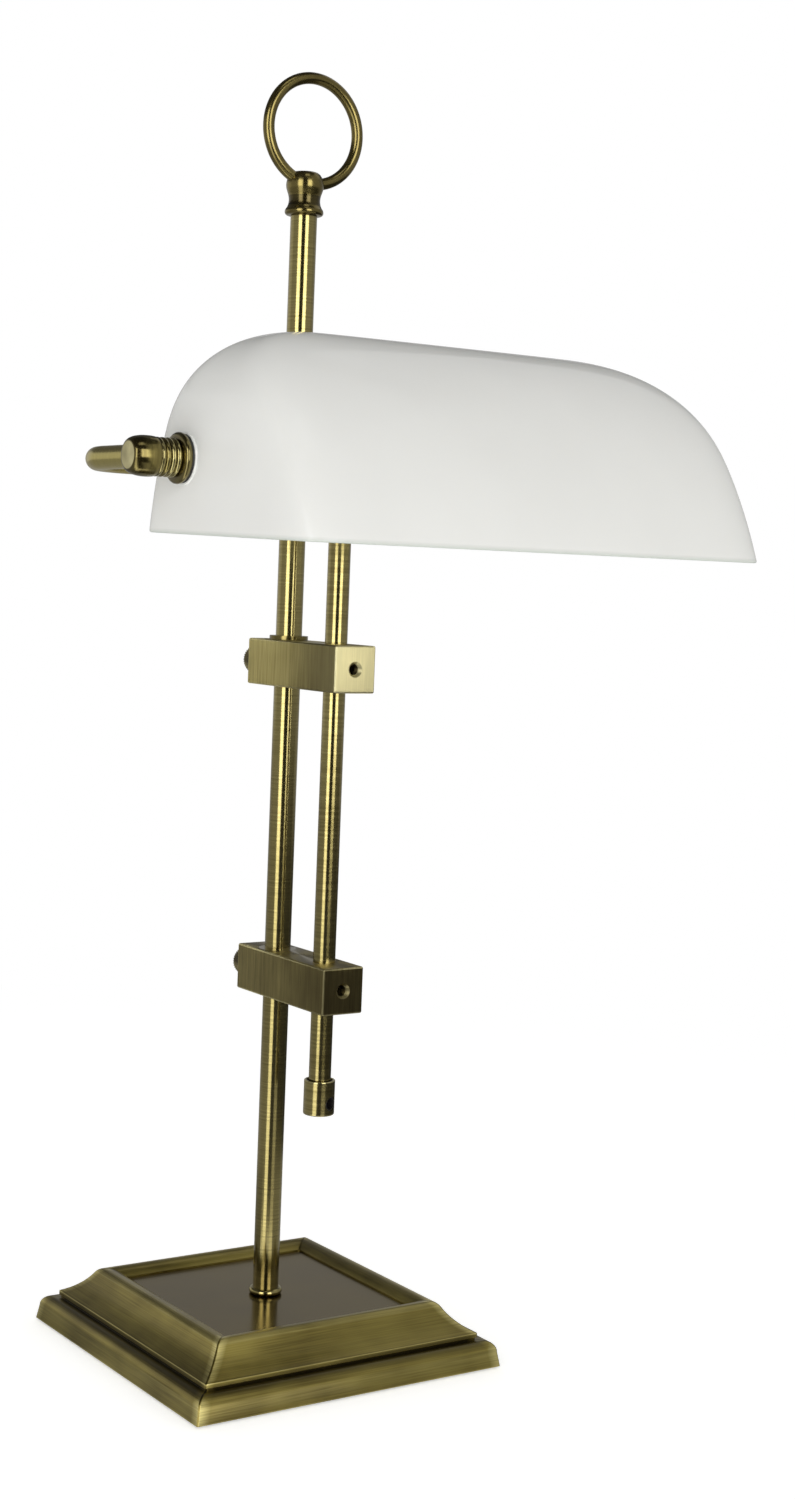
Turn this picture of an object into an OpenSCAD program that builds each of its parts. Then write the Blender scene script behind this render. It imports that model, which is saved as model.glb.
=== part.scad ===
// Desk lamp of the bankers kind: a post on a square moulded base, two clamp blocks that slide on the post
// and carry a second rod, and a yoke on that rod that holds an opal glass trough shade by its ends.
// Millimetres. +Z is up, X runs along the shade, the shade stands in front of the post at -Y, and the
// origin is the middle of the underside, on the post's axis.

/* [Base] */
// Width of the plinth where it meets the floor
base_w = 159; // [140:1:190]
// Thickness of the felt under the base
felt_t = 1; // [0.5:0.25:2]
// How far the felt is set in from the plinth's edge
felt_inset = 3; // [1:0.5:6]
// Height of the plinth
plinth_h = 11.5; // [10:0.5:16]
// How far each side of the plinth leans in
plinth_lean = 1.2; // [0.4:0.1:2]
// Radius of the plinth's rounded shoulder
shoulder_r = 4.8; // [2:0.2:5.4]
// Thickness of the web on top of the plinth
web_t = 3; // [2:0.5:5]
// Thickness of the plinth's side walls at their foot
plinth_wall = 9; // [7:0.5:12]
// How far the upper tier is set in from the plinth's foot
tier_inset = 8; // [7:0.5:12]
// Height of the groove between plinth and tier
groove_h = 1.3; // [0.6:0.1:2]
// Depth of that groove
groove_d = 1.2; // [0.5:0.1:2]
// Height of the upright edge at the foot of the tier
tier_lip = 1.7; // [0.8:0.1:3]
// Radius of the hollow cove of the tier
cove_r = 28; // [24:0.5:32]
// Slope of the cove at its foot, in degrees
cove_foot = 24; // [18:1:30]
// Slope of the cove at its top, in degrees
cove_top = 58; // [52:1:64]
// Radius of the rounded lip above the cove
lip_r = 4.5; // [3:0.25:6]
// Width of the raised frame from its crest to the recess
frame_face = 7; // [5:0.5:9]
// How far the top of the frame falls towards the recess
frame_fall = 3.2; // [1:0.1:4]
// Depth of the plate below the inner edge of the frame
plate_sink = 0.6; // [0.4:0.1:3]
// Thickness of the plate in the recess
plate_t = 3; // [2:0.5:4]
// Width of the ledge that carries the plate
ledge = 4.3; // [3:0.1:6]

/* [Post] */
// Diameter of the post
post_d = 12; // [10:0.5:14]
// Bore of the post
post_bore = 8; // [6:0.5:8.5]
// Length of the post above the plate
post_len = 496.5; // [470:0.5:540]
// Diameter of the ring around the foot of the post
foot_ring_d = 15.5; // [14.5:0.5:20]
// Height of that ring
foot_ring_h = 3; // [2:0.5:6]
// How far the threaded stud reaches up into the post
stud_grip = 22; // [14:1:30]
// Diameter of the washer under the weight
stud_washer_d = 24; // [20:1:28]
// Thickness of that washer
stud_washer_t = 2; // [1.5:0.5:3]
// Width of the nut across its flats
stud_nut_w = 13; // [11:0.5:15]
// Height of the nut
stud_nut_h = 6; // [5:0.5:7]
// Depth of the nut's pocket in the weight
nut_pocket_h = 11.5; // [10.5:0.5:13]

/* [Finial] */
// Diameter of the finial's foot flange
finial_flange_d = 17.5; // [15:0.5:20]
// Diameter of the finial's neck
finial_neck_d = 14.2; // [12:0.2:14.6]
// Diameter of the finial's ball
finial_ball_d = 17; // [15:0.5:18]
// Height of the ball's middle above the finial's foot
finial_ball_z = 13.2; // [12:0.2:15]
// Height of the finial
finial_h = 19.4; // [18.4:0.2:21]
// Length of the finial's spigot in the post
finial_spigot = 14; // [8:1:20]
// Outer diameter of the carrying ring
ring_d = 52; // [40:1:64]
// Diameter of the ring's wire
ring_wire = 5.2; // [4:0.2:6]
// Height of the ring's lowest point above the finial's foot
ring_seat = 12.2; // [11.8:0.1:13.6]
// Lean of the ring towards the right end of the shade, in degrees
ring_lean = 8.5; // [-12:0.5:12]

/* [Slide] */
// Distance from the post's axis to the rod's axis
rod_gap = 40.4; // [36:0.2:50]
// Diameter of the rod
rod_d = 10; // [8:0.5:12]
// Bore of the rod
rod_bore = 7; // [5:0.5:7.5]
// Height of the lower block's middle above the floor
lower_z = 177; // [150:1:200]
// Height of the upper block's middle above the lower block's middle
block_pitch = 142.4; // [120:0.2:160]
// Width of a block
block_w = 21; // [18:0.5:24]
// Height of a block
block_h = 21; // [16:0.5:24]
// Length of a block behind the post's axis
block_back = 18.4; // [16:0.2:24]
// Length of a block in front of the rod's axis
block_front = 16.5; // [13:0.5:20]
// Chamfer along the edges of a block
ease = 0.7; // [0.3:0.1:1.2]
// Wall of the split bushes between the blocks and the post
bush_wall = 1.5; // [1:0.1:2]
// Diameter of a bush's flange
bush_flange_d = 17.6; // [16.6:0.2:18]
// Thickness of a bush's flange
bush_flange_t = 1.8; // [1:0.2:3]
// Width of the split in a bush
bush_split = 1; // [0.5:0.1:1.5]
// Inner diameter of the tapped hole in the front of a block
tapped_d = 5; // [4:0.25:6]
// Depth of the thread in the tapped hole
thread_depth = 0.5; // [0.3:0.05:0.6]
// Pitch of that thread
thread_pitch = 1; // [0.7:0.1:1.25]
// Length of a grub screw
grub_len = 6; // [4:0.5:7]
// Width of a grub screw's hexagon socket
grub_key = 2.5; // [2:0.5:3]
// Depth of that socket
grub_key_depth = 2.5; // [1.5:0.5:3]

/* [Rod end cap] */
// Height of the cap's underside below the lower block's middle
cap_drop = 58.5; // [45:0.1:80]
// Diameter of the cap
cap_d = 14; // [13.4:0.2:18]
// Depth that the rod goes into the cap
cap_grip = 6.5; // [6:0.5:10]
// Diameter of the shallow counterbore around the rod
cap_rebate_d = 12; // [11.6:0.2:12.6]
// Depth of that counterbore
cap_rebate = 1.2; // [0.6:0.1:2]
// Thickness of the cap's floor
cap_floor = 1.6; // [1:0.1:2]
// Diameter of the cord outlet in the side of the cap
outlet_d = 6.6; // [5:0.1:6.8]
// Height of the outlet above the cap's underside
outlet_z = 5.4; // [5:0.1:8]
// Wall between the outlet and the rod's foot
outlet_gap = 0.5; // [0.3:0.1:4]
// Turn of the outlet from straight ahead, in degrees
outlet_turn = 22; // [-60:1:60]
// Wall of the insulating bush in the outlet
outlet_bush_wall = 0.6; // [0.4:0.1:0.8]
// Length of that bush
outlet_bush_len = 4; // [3:0.1:4.6]

/* [Yoke] */
// Height of the yoke above the upper block's middle
yoke_rise = 84; // [70:1:100]
// Distance from the yoke's back bar forward to the shade's pivot
yoke_reach = 61.6; // [56:0.2:75]
// Diameter of the yoke's tube
tube_d = 9.5; // [8.5:0.25:11]
// Bore of the yoke's tube
tube_bore = 7; // [5:0.5:7.25]
// Radius of the yoke's bends on the tube's axis
bend_r = 26; // [16:1:34]
// Diameter of the tee between rod and yoke
tee_d = 16; // [15:0.5:18]
// Length of the tee along the yoke
tee_len = 28; // [24:1:40]
// Reach of the tee's socket for the rod below the yoke's axis
tee_drop = 16; // [14:0.5:24]
// Depth that the tubes go into the tee
tee_grip = 7; // [5:0.5:8]
// Diameter of an elbow's barrel
barrel_d = 16; // [15:0.5:18]
// Length of an elbow's barrel
barrel_len = 15.6; // [14:0.2:20]
// Diameter of the flat on the barrel's outer end
barrel_face_d = 10.4; // [9:0.2:12]
// Length of the ringed collar inside the elbow
collar_len = 4.6; // [4:0.2:7]
// Diameter of the collar's rings
collar_d = 15.4; // [14:0.2:16]
// Diameter of the flange that bears on the shade's gasket
flange_d = 20.3; // [18:0.1:24]
// Thickness of that flange
flange_t = 3; // [2:0.2:5]

/* [Shade] */
// Length of the glass along the rim
shade_len = 225; // [200:1:260]
// Height of the glass from rim to ridge
shade_h = 82.3; // [76:0.1:95]
// Thickness of the glass
shade_wall = 4; // [3:0.25:5]
// Depth of the rim below the pivot
rim_drop = 29.4; // [27:0.2:34]
// Distance of the ridge in front of the pivot
ridge_fwd = 7.6; // [4:0.2:12]
// Reach of the front rim in front of the ridge
front_reach = 88; // [80:0.5:100]
// Reach of the back rim behind the ridge
back_reach = 47; // [42:0.5:49]
// Depth of the front arch's centre below the rim
front_sink = 83; // [50:1:110]
// Depth of the back arch's centre below the rim
back_sink = 14; // [5:1:25]
// Length of the ridge's straight stretch
ridge_len = 109; // [90:1:130]
// Height of the upright part of the end walls
end_upright = 38.7; // [34:0.1:46]
// Fullness of the rounding from the end walls to the ridge
end_fullness = 2.63; // [2.2:0.01:3]
// Squareness of the glass in plan at its rim
rim_square = 12; // [8:0.5:16]
// Squareness of the glass in plan at its ridge
ridge_square = 4.3; // [3:0.1:6]
// Tilt of the shade as it stands, front down, in degrees
shade_tilt = 1.2; // [0:0.1:4]
// Thickness of the gaskets on both faces of the glass
gasket_t = 1.5; // [1:0.1:3]
// Diameter of the gaskets
gasket_d = 19; // [17.6:0.2:22]
// Wall of the gasket's spigot in the hole of the glass
spigot_wall = 2; // [1.5:0.1:3]
// Diameter of the threaded nipples that the shade turns on
nipple_d = 10; // [9:0.25:11]
// Bore of the nipples
nipple_bore = 7; // [5:0.5:7.5]
// How far a nipple stands inside the washer
nipple_reach = 9; // [7:0.5:11]
// Diameter of the washers inside the shade
pivot_washer_d = 20; // [18:0.5:24]
// Thickness of those washers
pivot_washer_t = 1.5; // [1:0.25:2.5]
// Width of the lock nut across its flats
lock_nut_w = 15; // [14:0.5:17]
// Thickness of the lock nut
lock_nut_t = 5; // [4:0.5:7]

/* [Thumbscrews] */
// Diameter of the thumbscrews' shanks
screw_d = 5; // [4:0.25:6]
// Diameter of the knurled heads
knob_d = 13.2; // [11:0.2:16]
// Thickness of the knurled heads
knob_t = 9; // [6:0.5:12]
// Gap between the block and the head of a tightened screw
knob_stand = 2.6; // [2:0.1:4]
// Number of knurls around a head
knurls = 36; // [24:1:48]
// Depth of the knurls
knurl_depth = 0.4; // [0.2:0.05:0.6]
// Bevel on both ends of a head
knob_bevel = 0.8; // [0.4:0.1:1.5]
// Diameter of the pressure pad on a screw's tip
pad_d = 4; // [3:0.25:4.75]
// Thickness of the pressure pad
pad_t = 2.6; // [2:0.1:4]
// Diameter of the nib that carries the pad
nib_d = 2; // [1.5:0.1:2.5]
// Length of that nib
nib_len = 1.6; // [1:0.1:1.8]

/* [Lampholder] */
// Outer diameter of the lampholder
holder_d = 26; // [24:0.5:30]
// Length of the lampholder's cap
holder_cap_len = 13; // [12:0.5:16]
// Length of the lampholder's skirt
holder_skirt_len = 29; // [26:0.5:34]
// Wall of the skirt
holder_wall = 2; // [1.5:0.25:3]
// Inner diameter of the screw shell
shell_bore = 14.4; // [13.9:0.1:15]
// Wall of the screw shell
shell_wall = 0.6; // [0.4:0.1:1]
// Length of the screw shell
shell_len = 17; // [14:0.5:20]
// Diameter of the bulb's screw cap
bulb_cap_d = 13.8; // [13.2:0.1:14]
// Length of the bulb's screw cap
bulb_cap_len = 18; // [16:0.5:20]
// Diameter of the bulb's glass
bulb_d = 25; // [22:0.5:28]
// Length of the bulb's glass
bulb_len = 76; // [60:1:95]
// Wall of the bulb's glass
bulb_wall = 1; // [0.6:0.1:1.5]

/* [Fits] */
// Radial clearance of pieces that run on each other
run = 0.04; // [0.02:0.01:0.08]
// Clearance of pieces that are fixed in each other
seat = 0.1; // [0.05:0.01:0.2]
// Gap between faces that slide past each other
face_gap = 0.1; // [0.05:0.01:0.3]
// Room for the inward bow of the glass's end walls behind the flat inner gaskets
bow_gap = 0.35; // [0.3:0.05:0.6]

/* [Hidden] */
$fn = 64;
eps = 0.01;

// Colours of the finishes
brass = "#8a7c45";
dark_brass = "#5f5530";
plate_bronze = "#544a38";
opal = "#e6e6e2";
rubber = "#1c1c1a";
black_resin = "#222220";
iron = "#4a4a4a";
steel = "#9a9a98";
felt_green = "#2f4a38";
cap_metal = "#b9b4a6";

// Heights and half widths of the base
plinth_top = felt_t + plinth_h;
plinth_half = base_w/2;
shoulder_half = plinth_half - plinth_lean;
tier_half = plinth_half - tier_inset;
cove_z = plinth_top + groove_h + tier_lip;
cove_rise = cove_r*(cos(cove_foot) - cos(cove_top));
cove_run = cove_r*(sin(cove_top) - sin(cove_foot));
lip_rise = lip_r*(1 - cos(cove_top));
lip_run = lip_r*sin(cove_top);
crest_half = tier_half - cove_run - lip_run;
crest_z = cove_z + cove_rise + lip_rise;
recess_half = crest_half - frame_face;
plate_z = crest_z - frame_fall - plate_sink;
ledge_z = plate_z - plate_t;
opening_half = recess_half - ledge;
cavity_half = plinth_half - plinth_wall;
web_z = plinth_top - web_t;
pocket_d = stud_washer_d + 4;
pocket_top = felt_t + nut_pocket_h;
stud_d = post_bore - 2*seat;

// Heights on the post and the sliding carriage
post_top = plate_z + post_len;
ring_foot = post_top + ring_seat + ring_wire/2;
upper_z = lower_z + block_pitch;
rod_y = -rod_gap;
yoke_z = upper_z + yoke_rise;
pivot_y = rod_y - yoke_reach;
cap_z = lower_z - cap_drop;
cap_h = outlet_z + outlet_d/2 + outlet_gap + cap_grip;
cap_top = cap_z + cap_h;
rod_foot = cap_top - cap_grip;
outlet_face = sqrt(cap_d*cap_d - outlet_d*outlet_d)/2;
rod_head = yoke_z - tube_d/2 - 2*seat;

// Bushes, blocks and thumbscrews
bush_bore_r = post_d/2 + run;
bush_r = bush_bore_r + bush_wall;
block_bore_r = bush_r + run;
grub_r = tapped_d/2 - seat/2;
screw_hole_r = screw_d/2 + run;
pad_tip_y = bush_r + 2*face_gap;
screw_tip_y = pad_tip_y + pad_t + face_gap;
knob_y = block_back + knob_stand;

// Places along the shade's pivot, measured from the middle of the lamp
glass_out = shade_len/2;
glass_in = glass_out - shade_wall;
gasket_out = glass_out + gasket_t;
flange_in = gasket_out + face_gap;
flange_out = flange_in + flange_t;
collar_out = flange_out + collar_len;
barrel_out = collar_out + barrel_len;
arm_x = collar_out + barrel_len/2;
gasket_seat = glass_in - bow_gap;
gasket_in = gasket_seat - gasket_t;
washer_out = gasket_in - face_gap;
washer_in = washer_out - pivot_washer_t;
nipple_in = washer_in - nipple_reach;
nipple_grip = 5.5;
nipple_out = collar_out + nipple_grip;
socket_end = nipple_d/2 + 2*seat;
shade_hole_r = nipple_d/2 + run + spigot_wall + seat;

// Places along the lampholder
holder_cap_in = washer_in - holder_cap_len;
skirt_in = holder_cap_in - holder_skirt_len;
skirt_floor = holder_cap_in - 2;
contact_t = 1;
shell_out = skirt_floor;
bulb_cap_out = skirt_floor - contact_t - seat;
bulb_cap_in = bulb_cap_out - bulb_cap_len;

// Points along an arc, from angle a to angle b
function arc_points(x, y, r, a, b, n=10) =
    [for (i = [0:n]) let (t = a + (b - a)*i/n) [x + r*cos(t), y + r*sin(t)]];

// A square solid with the same outline on all four sides and mitred corners; outline is half of the section
module mitred(outline) {
    far = 2*base_w;
    section = concat(outline, [for (i = [len(outline) - 1:-1:0]) [-outline[i][0], outline[i][1]]]);
    intersection() {
        rotate([90, 0, 0]) linear_extrude(far, center=true) polygon(section);
        rotate([90, 0, 90]) linear_extrude(far, center=true) polygon(section);
    }
}

module square_prism(half, z0, z1) {
    translate([-half, -half, z0]) cube([2*half, 2*half, z1 - z0]);
}

module bar(r, z0, z1) {
    translate([0, 0, z0]) cylinder(r=r, h=z1 - z0);
}

module base_felt() {
    color(felt_green) square_prism(plinth_half - felt_inset, 0, felt_t);
}

// The weight: a wide foot inside the plinth and a narrower block up to the plate
module base_ballast() {
    color(iron) difference() {
        union() {
            square_prism(cavity_half - seat, felt_t, web_z);
            square_prism(opening_half - seat, felt_t, ledge_z);
        }
        bar(pocket_d/2, felt_t - eps, pocket_top);
        bar(stud_d/2 + seat, felt_t, ledge_z + eps);
    }
}

module base_plinth() {
    shoulder_z = plinth_top - shoulder_r;
    outline = concat(
        [[plinth_half, felt_t]],
        arc_points(shoulder_half - shoulder_r, shoulder_z, shoulder_r, 0, 90)
    );
    color(brass) difference() {
        mitred(outline);
        square_prism(cavity_half, felt_t - eps, web_z);
        square_prism(opening_half, felt_t, plinth_top + eps);
    }
}

// The upper tier: upright edge, hollow cove, rounded crest and a top that falls to the recess
module base_tier() {
    foot_x = tier_half - groove_d;
    fall_r = (frame_face*frame_face + frame_fall*frame_fall)/(2*frame_fall);
    fall_a = asin(frame_face/fall_r);
    outline = concat(
        [[foot_x, plinth_top], [foot_x, plinth_top + groove_h], [tier_half, plinth_top + groove_h]],
        arc_points(tier_half + cove_r*sin(cove_foot), cove_z + cove_r*cos(cove_foot), cove_r,
            270 - cove_foot, 270 - cove_top),
        arc_points(crest_half, crest_z - lip_r, lip_r, 90 - cove_top, 90, 8),
        arc_points(crest_half, crest_z - fall_r, fall_r, 90, 90 + fall_a, 6)
    );
    color(brass) difference() {
        mitred(outline);
        square_prism(opening_half, plinth_top - eps, crest_z);
        square_prism(recess_half, ledge_z, crest_z + eps);
    }
}

module base_plate() {
    color(plate_bronze) difference() {
        square_prism(recess_half - seat, ledge_z, plate_z);
        bar(stud_d/2 + seat, ledge_z - eps, plate_z + eps);
    }
}

module post() {
    color(brass) difference() {
        bar(post_d/2, plate_z, post_top);
        bar(post_bore/2, plate_z - eps, post_top + eps);
    }
}

module post_foot_ring() {
    bead = foot_ring_h/2;
    color(brass) translate([0, 0, plate_z]) rotate_extrude() difference() {
        union() {
            square([foot_ring_d/2 - bead, foot_ring_h]);
            translate([foot_ring_d/2 - bead, bead]) circle(bead);
        }
        translate([-eps, -eps]) square([post_d/2 + seat + eps, foot_ring_h + 2*eps]);
    }
}

module post_stud() {
    color(steel) bar(stud_d/2, pocket_top - stud_washer_t - stud_nut_h - 1, plate_z + stud_grip);
}

module post_washer() {
    color(steel) difference() {
        bar(stud_washer_d/2, pocket_top - stud_washer_t, pocket_top);
        bar(stud_d/2 + seat, pocket_top - stud_washer_t - eps, pocket_top + eps);
    }
}

module post_nut() {
    top = pocket_top - stud_washer_t;
    color(steel) difference() {
        translate([0, 0, top - stud_nut_h]) cylinder(d=stud_nut_w/cos(30), h=stud_nut_h, $fn=6);
        bar(stud_d/2 + seat, top - stud_nut_h - eps, top + eps);
    }
}

// Turned finial: foot flange, waist, and a ball with a flat top that the ring passes through
module finial() {
    flange_r = finial_flange_d/2;
    neck_r = finial_neck_d/2;
    ball_r = finial_ball_d/2;
    bead = 1.7;
    top_rise = finial_h - finial_ball_z;
    waist_z = 7;
    waist = [for (i = [0:8]) let (t = i/8)
        [neck_r + (flange_r - bead/2 - neck_r)*pow(1 - t, 2.2), 2*bead + (waist_z - 2*bead)*t]];
    profile = concat(
        [[0, 0]],
        arc_points(flange_r - bead, bead, bead, -90, 60, 6),
        waist,
        arc_points(0, finial_ball_z, ball_r, -acos(neck_r/ball_r), asin(top_rise/ball_r) - 8, 16),
        [[ball_r*cos(asin(top_rise/ball_r)) - 0.6, finial_h], [0, finial_h]]
    );
    color(dark_brass) difference() {
        union() {
            translate([0, 0, post_top]) rotate_extrude() polygon(profile);
            bar(post_bore/2 - seat, post_top - finial_spigot, post_top + eps);
        }
        carrying_ring(ring_wire/2 + seat);
    }
}

// Carrying ring, leaning about its lowest point inside the ball
module carrying_ring(r) {
    wheel_r = (ring_d - ring_wire)/2;
    translate([0, 0, ring_foot]) rotate([0, ring_lean, 0]) translate([0, 0, wheel_r]) rotate([90, 0, 0])
        rotate_extrude() translate([wheel_r, 0]) circle(r);
}

module finial_ring() {
    color(dark_brass) carrying_ring(ring_wire/2);
}

// A split bush with a flange; z is the top of its flange
module split_bush(z, length) {
    difference() {
        union() {
            bar(bush_flange_d/2, z - bush_flange_t, z);
            bar(bush_r, z - length, z - eps);
        }
        bar(bush_bore_r, z - length - eps, z + eps);
        translate([0, -bush_split/2, z - length - eps]) cube([bush_flange_d, bush_split, length + 2*eps]);
    }
}

module upper_bush() {
    color(dark_brass) split_bush(upper_z + block_h/2 + face_gap + bush_flange_t, block_h + bush_flange_t);
}

module lower_bush() {
    color(dark_brass) split_bush(lower_z + block_h/2, block_h);
}

// A rectangle with its corners cut, centred
module eased_rect(w, h) {
    polygon([
        [ease - w/2, -h/2], [w/2 - ease, -h/2], [w/2, ease - h/2], [w/2, h/2 - ease],
        [w/2 - ease, h/2], [ease - w/2, h/2], [-w/2, h/2 - ease], [-w/2, ease - h/2]
    ]);
}

module eased_block(w, d, h) {
    intersection() {
        linear_extrude(h, center=true) eased_rect(w, d);
        rotate([90, 0, 0]) linear_extrude(d, center=true) eased_rect(w, h);
        rotate([90, 0, 90]) linear_extrude(w, center=true) eased_rect(d, h);
    }
}

// A tapped hole along +Z from its mouth at 0, with a countersunk mouth and thread grooves
module tapped_hole(depth) {
    mouth = tapped_d/2 + thread_depth;
    translate([0, 0, -eps]) cylinder(d=tapped_d, h=depth + eps);
    rotate_extrude() polygon([
        [0, -eps], [mouth + thread_depth, -eps], [tapped_d/2 - eps, 2*thread_depth], [0, 2*thread_depth]]);
    for (z = [2*thread_depth + thread_pitch/2:thread_pitch:depth - thread_pitch])
        translate([0, 0, z]) rotate_extrude() polygon([
            [0, -thread_pitch*0.4], [tapped_d/2, -thread_pitch*0.4], [mouth, 0],
            [tapped_d/2, thread_pitch*0.4], [0, thread_pitch*0.4]
        ]);
}

// A clamp block around z, with bores for its bush, the rod, the thumbscrew and the grub screw
module clamp_block(z, flange_seat) {
    front_y = rod_y - block_front;
    depth = block_back - front_y;
    difference() {
        translate([0, block_back - depth/2, z]) eased_block(block_w, depth, block_h);
        bar(block_bore_r, z - block_h, z + block_h);
        if (flange_seat) bar(bush_flange_d/2 + seat, z + block_h/2 - bush_flange_t - face_gap, z + block_h);
        translate([0, rod_y, 0]) bar(rod_d/2 + seat/2, z - block_h, z + block_h);
        translate([0, 0, z]) rotate([-90, 0, 0]) bar(screw_hole_r, bush_bore_r, block_back + 1);
        translate([0, front_y, z]) rotate([-90, 0, 0]) tapped_hole(block_front - rod_d/2 + seat);
    }
}

module upper_block() {
    color(brass) clamp_block(upper_z, false);
}

module lower_block() {
    color(brass) clamp_block(lower_z, true);
}

// Two grub screws that hold the rod in the blocks, each with a hexagon socket
module grub_screws() {
    tip_y = rod_y - rod_d/2 - seat/2;
    color(dark_brass) for (z = [lower_z, upper_z]) translate([0, tip_y, z]) rotate([90, 0, 0]) difference() {
        cylinder(r=grub_r, h=grub_len);
        translate([0, 0, grub_len - grub_key_depth])
            cylinder(d=grub_key/cos(30), h=grub_key_depth + eps, $fn=6);
    }
}

module slide_rod() {
    color(brass) translate([0, rod_y, 0]) difference() {
        bar(rod_d/2, rod_foot, rod_head);
        bar(rod_bore/2, rod_foot - eps, rod_head + eps);
    }
}

// Places a piece along the cord outlet: its own Z runs out of the cap
module along_outlet() {
    translate([0, rod_y, cap_z + outlet_z]) rotate([90, 0, outlet_turn]) children();
}

// Cap on the rod's foot, with a rebate around the rod and the cord outlet in its side
module rod_end_cap() {
    bevel = 0.5;
    r = cap_d/2;
    color(brass) difference() {
        translate([0, rod_y, cap_z]) difference() {
            rotate_extrude() polygon([
                [0, 0], [r - bevel, 0], [r, bevel], [r, cap_h - bevel], [r - bevel, cap_h], [0, cap_h]]);
            bar(rod_d/2 + seat/2, cap_h - cap_grip, cap_h + eps);
            bar(rod_bore/2, cap_floor, cap_h);
            bar(cap_rebate_d/2, cap_h - cap_rebate, cap_h + eps);
        }
        along_outlet() cylinder(d=outlet_d, h=cap_d);
    }
}

// Insulating bush that lines the cord outlet
module outlet_bush() {
    r = outlet_d/2 - seat;
    inner_end = outlet_face - outlet_bush_len;
    color(black_resin) along_outlet() difference() {
        bar(r, inner_end, outlet_face);
        bar(r - outlet_bush_wall, inner_end - eps, outlet_face + eps);
    }
}

// Tee that joins the rod to the two tubes of the yoke
module yoke_tee() {
    bevel = 1.2;
    half = tee_len/2;
    r = tee_d/2;
    rim_r = r - bevel;
    color(brass) translate([0, rod_y, yoke_z]) difference() {
        union() {
            rotate([0, 90, 0]) rotate_extrude() polygon([
                [0, -half], [rim_r, -half], [r, bevel - half], [r, half - bevel], [rim_r, half], [0, half]]);
            rotate_extrude() polygon([[0, -tee_drop], [rim_r, -tee_drop], [rim_r, 0], [0, 0]]);
        }
        rotate([0, 90, 0]) for (s = [-1, 1]) mirror([0, 0, s < 0 ? 1 : 0])
            bar(tube_d/2 + seat/2, half - tee_grip, half + eps);
        rotate([0, 90, 0]) bar(tube_bore/2, -half, half);
        bar(rod_d/2 + seat/2, -tee_drop - eps, rod_head - yoke_z + seat);
        bar(rod_bore/2, -tee_drop, 0);
    }
}

// Solid run of the right-hand tube: along the back bar, round the bend and forward to the elbow
module tube_run(r, over) {
    tee_end = tee_len/2 - tee_grip;
    bend_x = arm_x - bend_r;
    bend_y = rod_y - bend_r;
    front = pivot_y + socket_end;
    translate([0, rod_y, yoke_z]) rotate([0, 90, 0]) bar(r, tee_end - over, bend_x);
    translate([bend_x, bend_y, yoke_z]) rotate_extrude(angle=90) translate([bend_r, 0]) circle(r);
    translate([arm_x, bend_y, yoke_z]) rotate([90, 0, 0]) bar(r, 0, bend_y - front + over);
}

module yoke_tube() {
    difference() {
        tube_run(tube_d/2, 0);
        tube_run(tube_bore/2, eps);
    }
}

module yoke_tube_right() {
    color(brass) yoke_tube();
}

module yoke_tube_left() {
    color(brass) mirror([1, 0, 0]) yoke_tube();
}

// Places a piece along the shade's pivot: its own Z runs outward from the middle of the lamp
module on_pivot(side) {
    translate([0, pivot_y, yoke_z]) mirror([side < 0 ? 1 : 0, 0, 0]) rotate([0, 90, 0]) children();
}

// Elbow: a turned barrel with a domed outer end, bored for the tube at its back and the nipple inside
module elbow(side) {
    r = barrel_d/2;
    face_r = barrel_face_d/2;
    dome = barrel_len*0.45;
    inner_r = r - 0.7;
    profile = concat(
        [[0, collar_out], [inner_r, collar_out], [inner_r, collar_out + 0.8]],
        [for (i = [0:10]) let (t = 90*i/10) [face_r + (r - face_r)*cos(t), barrel_out - dome + dome*sin(t)]],
        [[0, barrel_out]]
    );
    difference() {
        on_pivot(side) rotate_extrude() polygon(profile);
        on_pivot(side) bar(nipple_d/2 + seat/2, collar_out - eps, nipple_out + seat);
        on_pivot(side) bar(tube_bore/2, collar_out, arm_x + tube_bore/2);
        translate([side*arm_x, pivot_y, yoke_z]) rotate([-90, 0, 0]) {
            bar(tube_d/2 + seat/2, socket_end, barrel_d);
            bar(tube_bore/2, 0, barrel_d);
        }
    }
}

module elbow_left() {
    color(brass) elbow(-1);
}

module elbow_right() {
    color(brass) elbow(1);
}

// Collar of two rounded rings, with the nipple through it
module pivot_collar(side) {
    ring_half = collar_len/4;
    core_r = collar_d/2 - ring_half;
    on_pivot(side) difference() {
        union() {
            bar(core_r - ring_half/2, flange_out, collar_out);
            for (z = [flange_out + ring_half, collar_out - ring_half]) translate([0, 0, z]) rotate_extrude() {
                translate([core_r, 0]) circle(ring_half - eps);
                translate([0, eps - ring_half]) square([core_r, 2*(ring_half - eps)]);
            }
        }
        bar(nipple_d/2 + seat/2, flange_out - eps, collar_out + eps);
    }
}

module pivot_collar_left() {
    color(brass) pivot_collar(-1);
}

module pivot_collar_right() {
    color(brass) pivot_collar(1);
}

// Flange with a rounded edge that bears on the gasket
module pivot_flange(side) {
    edge = flange_t*0.45;
    r = flange_d/2;
    boss_r = collar_d/2;
    on_pivot(side) difference() {
        rotate_extrude() polygon(concat(
            [[0, flange_in], [r - edge/2, flange_in]],
            arc_points(r - edge, flange_in + edge, edge, -60, 90, 8),
            [[boss_r, flange_out], [0, flange_out]]
        ));
        bar(nipple_d/2 + seat/2, flange_in - eps, flange_out + eps);
    }
}

module pivot_flange_left() {
    color(dark_brass) pivot_flange(-1);
}

module pivot_flange_right() {
    color(dark_brass) pivot_flange(1);
}

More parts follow.
